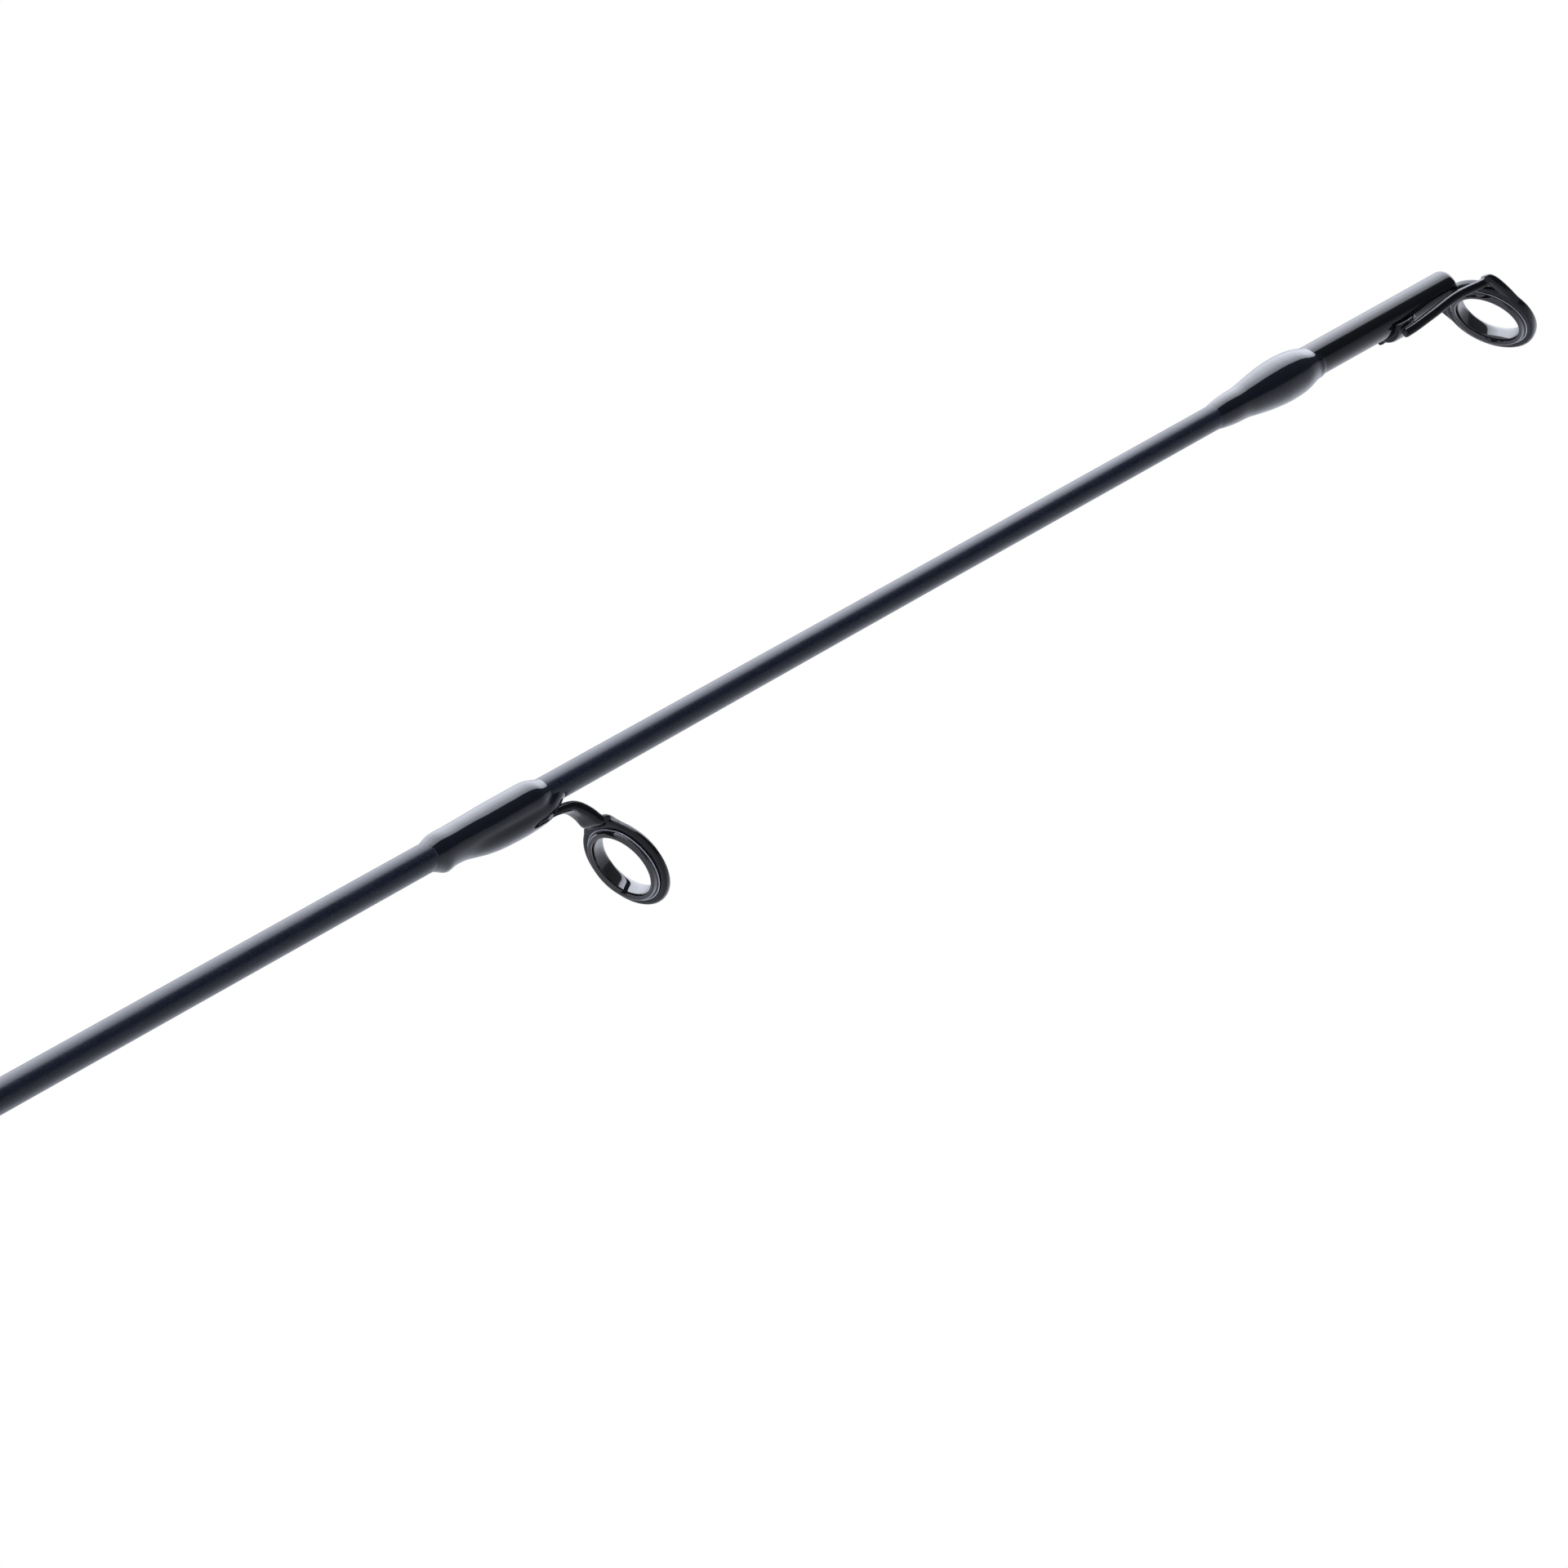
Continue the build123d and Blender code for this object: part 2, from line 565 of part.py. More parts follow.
def drive_gear() -> Part:
    """Face gear on a hollow shaft, with the small gear that drives the oscillation."""
    body = disc_x(15, -9.5, -6.5, CRANK_Y, CRANK_Z) + disc_x(6, -10.3, -6.5, CRANK_Y, CRANK_Z)
    body = body + disc_x(BEARING_BORE, -BOSS_X - 0.4, BOSS_X + 0.4, CRANK_Y, CRANK_Z)
    body = body + spur_x(5.0, 16, 0.45, 5, 8, CRANK_Y, CRANK_Z)
    tooth = block((-6.6, -4.5), (-0.45, 0.45), (11, 15))
    place = Pos(0, CRANK_Y, CRANK_Z)
    teeth = [place * Rotation(360 * i / GEAR_TEETH, 0, 0) * tooth for i in range(GEAR_TEETH)]
    lightening = [place * Rotation(60 * i, 0, 0) * disc_x(1.9, -10, -6, 0, 8.4) for i in range(6)]
    return (body + teeth - lightening) - disc_x(3, -BOSS_X - 1, BOSS_X + 1, CRANK_Y, CRANK_Z)


def spur_x(root: float, teeth: int, tall: float, x0: float, x1: float, y: float, z: float) -> Part:
    """A small straight gear along X: a root cylinder with block teeth."""
    width = pi * root / teeth
    tooth = block((x0, x1), (-width / 2, width / 2), (root - 0.3, root + tall))
    place = Pos(0, y, z)
    ring = [place * Rotation(360 * i / teeth, 0, 0) * tooth for i in range(teeth)]
    return disc_x(root, x0, x1, y, z) + ring


def pinion() -> Part:
    """Long sleeve with the pinion's teeth, on which the rotor is nutted."""
    low, mid, high = 260.0, 269.0, 290.0
    body = disc_z(PINION_SLEEVE, mid, high, 0, AXIS_Y) + disc_z(3.3, low, mid, 0, AXIS_Y)
    tooth = block((3.0, 4.1), (-0.65, 0.65), (low, mid))
    place = Pos(0, AXIS_Y, 0)
    teeth = [place * Rotation(0, 0, 360 * (i + 0.5) / PINION_TEETH) * tooth for i in range(PINION_TEETH)]
    return (body + teeth) - disc_z(SHAFT_BORE, low - 1, high + 1, 0, AXIS_Y)


def oscillation_gear() -> Part:
    """Gear with an eccentric pin that pushes the shaft in and out."""
    body = spur_x(6.2, 20, 0.45, 5, 8, OSCILLATION_Y, OSCILLATION_Z)
    body = body + disc_x(1.5, 8, 12.2, OSCILLATION_Y, OSCILLATION_Z)
    return body + disc_x(1.1, 3.9, 5, OSCILLATION_Y + CRANK_THROW, OSCILLATION_Z)


def oscillation_slider() -> Part:
    """Block on the main shaft, with the slot that faces the eccentric pin."""
    body = block((-4.1, 3.6), (-65.4, -54.0), (OSCILLATION_Z - 3, OSCILLATION_Z + 3))
    slot = block((2.6, 3.7), (-64.8, -53.9), (OSCILLATION_Z - 1.4, OSCILLATION_Z + 1.4))
    return body - slot - disc_z(SHAFT_RADIUS, OSCILLATION_Z - 10, OSCILLATION_Z + 10, 0, AXIS_Y)


def main_shaft() -> Part:
    return disc_z(SHAFT_RADIUS, OSCILLATION_Z - 5, PIVOT_Z + 27, 0, AXIS_Y)


def handle_arm() -> Part:
    """Shank through the drive gear, neck and crank arm."""
    shank = disc_x(2.95, 0.4 - BOSS_X, BOSS_X + 0.4, CRANK_Y, CRANK_Z)
    profile = [(0, BOSS_X + 0.4), (6.4, BOSS_X + 0.4), (6.4, 22), (4.6, 25), (4.6, 34), (6.2, 38), (6.2, 40),
               (0, 40)]
    neck = Pos(0, CRANK_Y, CRANK_Z) * Rotation(0, 90, 0) * turned(profile)
    outline = make_hull(Circle(6.4).edges() + (Pos(0, -HANDLE_REACH) * Circle(4.6)).edges())
    arm = Pos(HANDLE_X[0], CRANK_Y, CRANK_Z) * extrude(Plane.YZ * outline, HANDLE_X[1] - HANDLE_X[0])
    arm = softened(arm, arm.edges(), 1.2)
    return shank + neck + arm


def handle_cap() -> Part:
    """Threaded cap on the far end of the handle's shank."""
    profile = [(0, 0), (7.0, 0), (7.4, 1.5), (6.6, 6.5), (5.4, 7.6), (0, 7.6)]
    place = Pos(-BOSS_X - 0.4, CRANK_Y, CRANK_Z) * Rotation(0, -90, 0)
    return place * turned(profile)


def knob_pin() -> Part:
    z = CRANK_Z - HANDLE_REACH
    return disc_x(2.5, HANDLE_X[1], 62, CRANK_Y, z) + disc_x(3.6, HANDLE_X[1], 41, CRANK_Y, z)


def handle_knob() -> Part:
    """Barrel knob that spins on its pin."""
    z = CRANK_Z - HANDLE_REACH
    profile = [(0, 41.4), (5.6, 41.4), (6.4, 43), (7.0, 47), (9.0, 56), (9.2, 62), (8.0, 67), (5.5, 69), (0, 69.4)]
    body = Pos(0, CRANK_Y, z) * Rotation(0, 90, 0) * turned(profile)
    return body - disc_x(2.6, 41, 63, CRANK_Y, z)


# ---------------------------------------------------- rotor, bail, spool


def rotor() -> Part:
    """Drum with two arms that carry the bail round the spool."""
    drum = [(PINION_SLEEVE, 287), (17.9, 287), (17.9, 275), (24, 275), (24, 281), (20.5, 290), (19.5, 292),
            (19.5, 305), (17.9, 305), (17.9, 290), (PINION_SLEEVE, 290)]
    body = turned(drum, AXIS_Y)
    for side in (-1, 1):
        body = body + rotor_arm(side)
    body = body - disc_z(17.9, 274, 287, 0, AXIS_Y) - disc_z(17.9, 290, 306, 0, AXIS_Y)
    body = body - disc_x(PIVOT_SCREW, -40, -20, AXIS_Y, PIVOT_Z) - disc_x(PIVOT_SCREW, 20, 40, AXIS_Y, PIVOT_Z)
    return body - spring_room()


def rotor_arm(side: int) -> Part:
    """One arm: a thick root, a plate beside the spool, and the pivot's boss."""
    inner, outer = ARM_X
    wide = ARM_HALF_WIDTH
    y = (AXIS_Y - wide, AXIS_Y + wide)
    root = block((17.0, outer + 2.4), y, (275, 289.5)) + block((inner, outer + 2.4), y, (289, 304))
    plate = block((inner, outer), (AXIS_Y - 6.5, AXIS_Y + 6.5), (300, PIVOT_Z))
    boss = disc_x(BOSS_RADIUS, inner, outer, AXIS_Y, PIVOT_Z)
    root = softened(root, root.edges().filter_by(Axis.Z).sort_by(Axis.X)[-2:], 4.0)
    arm = root + plate + boss
    return arm if side > 0 else Rotation(0, 0, 180) * Pos(0, -2 * AXIS_Y, 0) * arm


SPRING_X = 27.6
SPRING_Z = (283.0, 301.0)


def spring_room() -> Part:
    return disc_z(1.9, SPRING_Z[0], SPRING_Z[1] + 0.5, SPRING_X, AXIS_Y)


def bail_spring() -> Part:
    """Coil spring inside the rotor's arm that snaps the bail over."""
    height = SPRING_Z[1] - SPRING_Z[0] - 1.2
    path = Helix(pitch=height / 9, height=height, radius=1.3)
    coil = sweep(Plane(origin=path @ 0, z_dir=path % 0) * Circle(0.32), path=path)
    return Pos(SPRING_X, AXIS_Y, SPRING_Z[0] + 0.6) * coil


def rotor_nut() -> Part:
    """Hexagonal nut on the pinion's end."""
    nut = Pos(0, AXIS_Y, 290) * extrude(RegularPolygon(7.0, 6), 4)
    return nut - disc_z(SHAFT_BORE, 289, 295, 0, AXIS_Y)


def pivot_screws() -> Compound:
    """The two screws that the bail turns on."""
    shank = disc_x(PIVOT_SCREW, ARM_X[0] + 0.1, 33.2, AXIS_Y, PIVOT_Z) + disc_x(4.2, 33.2, 34.4, AXIS_Y, PIVOT_Z)
    slot = block((33.9, 34.5), (AXIS_Y - 3, AXIS_Y + 3), (PIVOT_Z - 0.4, PIVOT_Z + 0.4))
    screw = (shank - slot).solid()
    twin = (Rotation(0, 0, 180) * Pos(0, -2 * AXIS_Y, 0) * (shank - slot)).solid()
    return Compound(children=[screw, twin])


def bail_place() -> Location:
    """The bail's own frame: X along its pivot, Y out along the closed bail."""
    return Location((0, AXIS_Y, PIVOT_Z)) * Rotation(180 - BAIL_LEAN, 0, 0)


def bail_boss(x0: float, x1: float) -> Part:
    return disc_x(BOSS_RADIUS, x0, x1, 0, 0)


def bail_arm() -> Part:
    """Arm that holds the line roller."""
    plate = make_hull(Circle(5.6).edges() + (Pos(ROLLER_REACH, 0) * Circle(4.6)).edges())
    body = Pos(30.5, 0, 0) * extrude(Plane.YZ * plate, 2.5)
    body = body + bail_boss(28.6, 33.0)
    body = body - disc_x(PIVOT_SCREW + 0.1, 28, 34, 0, 0) - disc_x(1.2, 28, 34, ROLLER_REACH, 0)
    return bail_place() * body


def bail_lever() -> Part:
    """Plain arm on the other side."""
    reach = 10.0
    plate = make_hull(Circle(5.6).edges() + (Pos(reach - 3.0, 0) * Circle(3.0)).edges())
    body = Pos(-33.0, 0, 0) * extrude(Plane.YZ * plate, 4.2) + bail_boss(-33.0, -28.6)
    body = body + disc_x(1.9, -32.4, -28.8, reach - 2.0, 0)
    body = body & block((-34, -28), (-10, reach - 0.5), (-10, 10))
    return bail_place() * (body - disc_x(PIVOT_SCREW + 0.1, -34, -28, 0, 0))


def bail_wire() -> Part:
    """Wire hoop with the cone that leads the line on to the roller."""
    start = Vector(24.7, ROLLER_REACH, 0)
    points = [start, (25.4, 31, 0), (14, BAIL_REACH, 0), (-14, BAIL_REACH, 0), (-30.6, 31, 0), (-30.6, 9.5, 0)]
    path = FilletPolyline(*points, radius=(9, 14, 14, 14))
    wire = sweep(Plane(origin=path @ 0, z_dir=path % 0) * Circle(1.0), path=path)
    cone = [(0, 23.7), (1.6, 23.7), (2.9, 25.0), (2.9, 25.8), (0, 25.8)]
    tip = Pos(0, ROLLER_REACH, 0) * Rotation(0, 90, 0) * turned(cone)
    return bail_place() * (wire + tip)


def line_roller() -> Part:
    """Grooved roller that the line turns over."""
    profile = [(1.3, 26.05), (3.7, 26.05), (3.1, 27.3), (3.1, 28.9), (3.7, 30.2), (1.3, 30.2)]
    return bail_place() * Pos(0, ROLLER_REACH, 0) * Rotation(0, 90, 0) * turned(profile)


def roller_screw() -> Part:
    screw = disc_x(1.2, 25.8, 33, ROLLER_REACH, 0) + disc_x(2.4, 33, 34, ROLLER_REACH, 0)
    slot = block((33.6, 34.1), (ROLLER_REACH - 1.7, ROLLER_REACH + 1.7), (-0.3, 0.3))
    return bail_place() * (screw - slot)


def spool() -> Part:
    """Skirted spool, hollow behind, with the drag's pocket in front."""
    section = [(SHAFT_BORE, -3), (3.8, -3), (3.8, 3), (11.5, 3), (11.5, -2), (20.9, -2), (20.9, -16), (22.5, -16),
               (22.5, -0.6), (21.9, 0), (13, 0.8), (13, 13.4), (21.4, 14.2), (22.2, 15.2), (21.6, 16.6), (19, 17),
               (9.5, 17), (9.5, 6), (SHAFT_BORE, 6)]
    return turned([(r, z + PIVOT_Z) for r, z in section], AXIS_Y)


def drag_washers() -> Compound:
    """Stack of friction and metal washers in the spool's pocket."""
    thick, step = 1.0, 1.1
    rings = []
    for i in range(4):
        z = PIVOT_Z + 6 + i * step
        ring = disc_z(9.2, z, z + thick, 0, AXIS_Y) - disc_z(SHAFT_BORE + 0.3, z, z + thick, 0, AXIS_Y)
        rings.append(ring.solid())
    return Compound(children=rings)


def drag_knob() -> Part:
    """Knob on the shaft's end that presses the washers."""
    profile = [(0, 10.8), (5, 10.8), (5, 17.4), (12, 17.4), (12, 19), (11.3, 26), (10, 28.6), (0, 29)]
    body = turned([(r, z + PIVOT_Z) for r, z in profile], AXIS_Y)
    scallop = disc_z(5, PIVOT_Z + 19.5, PIVOT_Z + 30, 14.6, 0)
    cuts = [Pos(0, AXIS_Y, 0) * Rotation(0, 0, 60 * i) * scallop for i in range(6)]
    return body - cuts - disc_z(SHAFT_BORE, PIVOT_Z + 10, PIVOT_Z + 27.4, 0, AXIS_Y)


# --------------------------------------------------------------- write


def guide_nodes() -> dict:
    """Frame, ring and wrap of every guide, by node name."""
    nodes = {}
    for guide in GUIDES:
        frame = guide_frame(guide)
        nodes[f"{guide.name}_frame"] = frame
        nodes[f"{guide.name}_ring"] = guide_ring(guide)
        nodes[f"{guide.name}_wrap"] = guide_wrap(guide, frame)
    return nodes


def all_nodes() -> dict:
    keeper = hook_keeper()
    makers = [
        butt_blank, tip_blank, ferrule_wrap, tip_top_frame, tip_top_tube, tip_top_ring, tip_wrap, butt_cap,
        rear_grip, foregrip, seat_body, sliding_hood, lock_nut, winding_check, reel_body, side_cover,
        cover_screws, drive_bearings, pinion_bearing, roller_clutch, anti_reverse_lever, drive_gear, pinion,
        oscillation_gear, oscillation_slider, main_shaft, handle_arm, handle_cap, knob_pin, handle_knob, rotor,
        bail_spring, rotor_nut, pivot_screws, bail_arm, bail_lever, bail_wire, line_roller, roller_screw, spool,
        drag_washers, drag_knob,
    ]
    nodes = {maker.__name__: maker() for maker in makers}
    nodes["hook_keeper"] = keeper
    nodes["keeper_wraps"] = keeper_wraps(keeper)
    nodes.update(guide_nodes())
    return nodes


for name, shape in all_nodes().items():
    export_step(shape, f"parts/{name}.step")
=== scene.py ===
"""Looks of a two-piece spinning rod with its spinning reel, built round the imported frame.

Lengths inside the classes are in millimetres, in the rod's own frame: +Z runs up the rod from the
butt cap's face to the tip, the guides and the reel hang towards -Y, and the handle is on +X.
"""

from __future__ import annotations

import json
import logging
import math
from collections.abc import Callable
from dataclasses import dataclass, field
from enum import Enum

import bmesh
import bpy
import numpy as np
from mathutils import Matrix, Vector, noise

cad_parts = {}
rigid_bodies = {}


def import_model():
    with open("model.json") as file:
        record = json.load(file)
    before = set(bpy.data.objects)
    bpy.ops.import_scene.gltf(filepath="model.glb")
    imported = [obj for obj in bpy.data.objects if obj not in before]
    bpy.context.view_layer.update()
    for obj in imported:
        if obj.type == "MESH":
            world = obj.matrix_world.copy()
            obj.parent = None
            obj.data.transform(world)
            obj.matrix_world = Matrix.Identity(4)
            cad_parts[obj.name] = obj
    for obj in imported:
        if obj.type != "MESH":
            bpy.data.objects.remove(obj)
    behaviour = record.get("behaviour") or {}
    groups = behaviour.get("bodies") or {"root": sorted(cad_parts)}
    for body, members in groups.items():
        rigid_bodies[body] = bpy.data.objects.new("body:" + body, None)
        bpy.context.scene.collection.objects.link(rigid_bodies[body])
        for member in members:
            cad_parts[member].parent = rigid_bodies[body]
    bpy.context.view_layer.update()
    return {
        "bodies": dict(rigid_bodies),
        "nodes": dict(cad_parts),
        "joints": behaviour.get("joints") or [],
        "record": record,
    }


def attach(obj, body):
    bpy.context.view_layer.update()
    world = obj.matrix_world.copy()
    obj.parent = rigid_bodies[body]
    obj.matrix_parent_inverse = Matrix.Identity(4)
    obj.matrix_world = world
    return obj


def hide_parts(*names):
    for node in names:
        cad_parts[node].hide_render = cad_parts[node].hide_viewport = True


LOG = logging.getLogger("rod")
MM = 0.001
SHARP_ANGLE = math.radians(38)
WELD = 1e-7
UP, ALONG = (0, 0, 1), (1, 0, 0)
# A wave texture's scale is this over the distance between its crests.
WAVE_SCALE = 0.314
# The Mix node's colour sockets share their names with its other sockets, so they go by number.
MIX_FIRST, MIX_SECOND, MIX_RESULT = 6, 7, 2
Triple = tuple[float, float, float]
Profile = list[tuple[float, float]]
Socket = bpy.types.NodeSocket


class Body(str, Enum):
    """The bodies that the new pieces ride on."""

    ROOT = "root"
    TIP = "tip_section"
    HOOD = "hood"
    NUT = "nut"
    CRANK = "crank"
    KNOB = "knob"
    ROTOR = "rotor"
    BAIL = "bail"
    SPOOL = "spool"
    DRAG = "drag"
    LEVER = "reverse_lever"


class Grain(Enum):
    """How a surface is textured."""

    SMOOTH = "smooth"
    NOISE = "noise"
    FOAM = "foam"
    TURNED_Z = "turned_z"
    TURNED_X = "turned_x"
    THREAD = "thread"


# ------------------------------------------------------------- finishes


def wire(tree: bpy.types.NodeTree, node: bpy.types.Node, inputs: dict) -> bpy.types.Node:
    """Sets a node's inputs.

    Args:
        tree: the tree that the node is in.
        node: the node.
        inputs: by socket name or number, a value or another node's output.

    Returns:
        The same node.
    """
    for name, value in inputs.items():
        if isinstance(value, Socket):
            tree.links.new(value, node.inputs[name])
        else:
            node.inputs[name].default_value = value
    return node


def add_node(tree: bpy.types.NodeTree, kind: str, inputs: dict | None = None,
             **settings: object) -> bpy.types.Node:
    """Adds a node to a tree.

    Args:
        tree: the tree to build in.
        kind: the node's type.
        inputs: what its inputs hold, as for wire.
        settings: the node's own options.

    Returns:
        The new node.
    """
    node = tree.nodes.new(kind)
    for name, value in settings.items():
        setattr(node, name, value)
    return wire(tree, node, inputs or {})


@dataclass(frozen=True)
class Finish:
    """One material: its colours, gloss and surface texture.

    grain_mm is the size of the texture and grain_depth its height in millimetres. A slow mottle
    takes the base colour down to shade of itself.
    """

    name: str
    slot: str
    base: Triple
    fleck: Triple | None = None
    fleck_mm: float = 0.3
    fleck_share: float = 0.3
    metallic: float = 0.0
    rough: float = 0.4
    rough_spread: float = 0.08
    specular: float = 0.5
    ior: float = 1.5
    coat: float = 0.0
    coat_rough: float = 0.03
    grain: Grain = Grain.NOISE
    grain_mm: float = 0.3
    grain_depth: float = 0.004
    centre: Triple = (0.0, 0.0, 0.0)
    shade: float = 0.82
    mottle_mm: float = 12.0
    wander_mm: float = 4.0

    def build(self) -> bpy.types.Material:
        """Makes the node material.

        Returns:
            The new material.
        """
        material = bpy.data.materials.new(self.name)
        material.use_nodes = True
        tree = Shader(material.node_tree)
        place = tree.object_place(self.centre)
        inputs = {"Metallic": self.metallic, "IOR": self.ior, "Specular IOR Level": self.specular,
                  "Coat Weight": self.coat, "Coat Roughness": self.coat_rough,
                  "Base Color": self._colour(tree, place), "Roughness": self._roughness(tree, place)}
        if self.grain is not Grain.SMOOTH:
            inputs["Normal"] = self._bump(tree, place)
        wire(material.node_tree, material.node_tree.nodes["Principled BSDF"], inputs)
        return material

    def _colour(self, tree: "Shader", place: Socket) -> Socket:
        """Base colour with a slow mottle and, where the finish has them, small flecks.

        Args:
            tree: the shader to build in.
            place: where the surface is, in millimetres.

        Returns:
            The colour.
        """
        slow = tree.noise(place, self.mottle_mm, detail=3)
        dark = tuple(self.shade * c for c in self.base)
        colour = tree.mix(tree.ramp(slow, 0.35, 0.65), dark, self.base)
        if self.fleck is not None:
            fine = tree.noise(place, self.fleck_mm, detail=2)
            highest, softness = 0.62, 0.12
            edge = (1.0 - self.fleck_share) * highest
            colour = tree.mix(tree.ramp(fine, edge, edge + softness), colour, self.fleck)
        return colour

    def _roughness(self, tree: "Shader", place: Socket) -> Socket:
        """Roughness that wanders a little over the surface."""
        slow = tree.noise(place, self.wander_mm, detail=4)
        return tree.spread(slow, self.rough - self.rough_spread, self.rough + self.rough_spread)

    def _bump(self, tree: "Shader", place: Socket) -> Socket:
        """Normal from the finish's own grain.

        Args:
            tree: the shader to build in.
            place: where the surface is, in millimetres.

        Returns:
            The normal.
        """
        if self.grain is Grain.FOAM:
            height = tree.cells(place, self.grain_mm)
        elif self.grain in (Grain.TURNED_Z, Grain.TURNED_X):
            height = tree.rings(place, self.grain_mm, "Z" if self.grain is Grain.TURNED_Z else "X")
        elif self.grain is Grain.THREAD:
            height = tree.bands(place, self.grain_mm)
        else:
            height = tree.noise(place, self.grain_mm, detail=3)
        return tree.bump(height, self.grain_depth)


class Shader:
    """Short names for the shader nodes that the finishes use. Sizes are in millimetres."""

    def __init__(self, tree: bpy.types.NodeTree) -> None:
        """Keeps the node tree to build in."""
        self.tree = tree

    def _output(self, name: str | int, kind: str, inputs: dict, **settings: object) -> Socket:
        """One output of a new node, made as add_node makes it."""
        return add_node(self.tree, kind, inputs, **settings).outputs[name]

    def object_place(self, centre: Triple) -> Socket:
        """Object coordinates in millimetres, measured from a centre.

        Args:
            centre: the point that they are measured from.

        Returns:
            The place.
        """
        coordinate = self._output("Object", "ShaderNodeTexCoord", {})
        inputs = {"Vector": coordinate, "Location": [-c for c in centre], "Scale": (1 / MM,) * 3}
        return self._output("Vector", "ShaderNodeMapping", inputs)

    def noise(self, place: Socket, size: float, detail: float = 2.0) -> Socket:
        """Noise whose lumps are about size across."""
        inputs = {"Vector": place, "Scale": 1 / size, "Detail": detail}
        return self._output("Fac", "ShaderNodeTexNoise", inputs)

    def cells(self, place: Socket, size: float) -> Socket:
        """Closed foam cells about size across."""
        return self._output("Distance", "ShaderNodeTexVoronoi", {"Vector": place, "Scale": 1 / size})

    def rings(self, place: Socket, size: float, axis: str) -> Socket:
        """Fine turning marks round an axis, size apart."""
        inputs = {"Vector": place, "Scale": WAVE_SCALE / size, "Distortion": 0.6, "Detail": 2}
        return self._output("Fac", "ShaderNodeTexWave", inputs, wave_type="RINGS", rings_direction=axis)

    def bands(self, place: Socket, size: float) -> Socket:
        """Level bands up Z, size apart, as the turns of a thread."""
        inputs = {"Vector": place, "Scale": WAVE_SCALE / size, "Distortion": 0.25}
        return self._output("Fac", "ShaderNodeTexWave", inputs, wave_type="BANDS", bands_direction="Z")

    def ramp(self, value: Socket, low: float, high: float) -> Socket:
        """The value stretched so that low becomes 0 and high becomes 1."""
        return self.spread(value, 0.0, 1.0, low, high)

    def spread(self, value: Socket, low: float, high: float, start: float = 0.3, end: float = 0.7) -> Socket:
        """The value carried from start..end to low..high."""
        inputs = {"Value": value, "From Min": start, "From Max": end, "To Min": low, "To Max": high}
        return self._output("Result", "ShaderNodeMapRange", inputs)

    def mix(self, share: Socket, first: Socket | tuple, second: tuple) -> Socket:
        """A mix of a colour, or another node's colour, with a colour.

        Args:
            share: how much there is of the second colour.
            first: the first colour, or a socket that gives it.
            second: the second colour.

        Returns:
            The mixed colour.
        """
        start = first if isinstance(first, Socket) else (*first, 1)
        inputs = {"Factor": share, MIX_FIRST: start, MIX_SECOND: (*second, 1)}
        return self._output(MIX_RESULT, "ShaderNodeMix", inputs, data_type="RGBA")

    def bump(self, height: Socket, depth: float) -> Socket:
        """Normal from a height of that depth."""
        inputs = {"Height": height, "Strength": 1.0, "Distance": depth * MM}
        return self._output("Normal", "ShaderNodeBump", inputs)


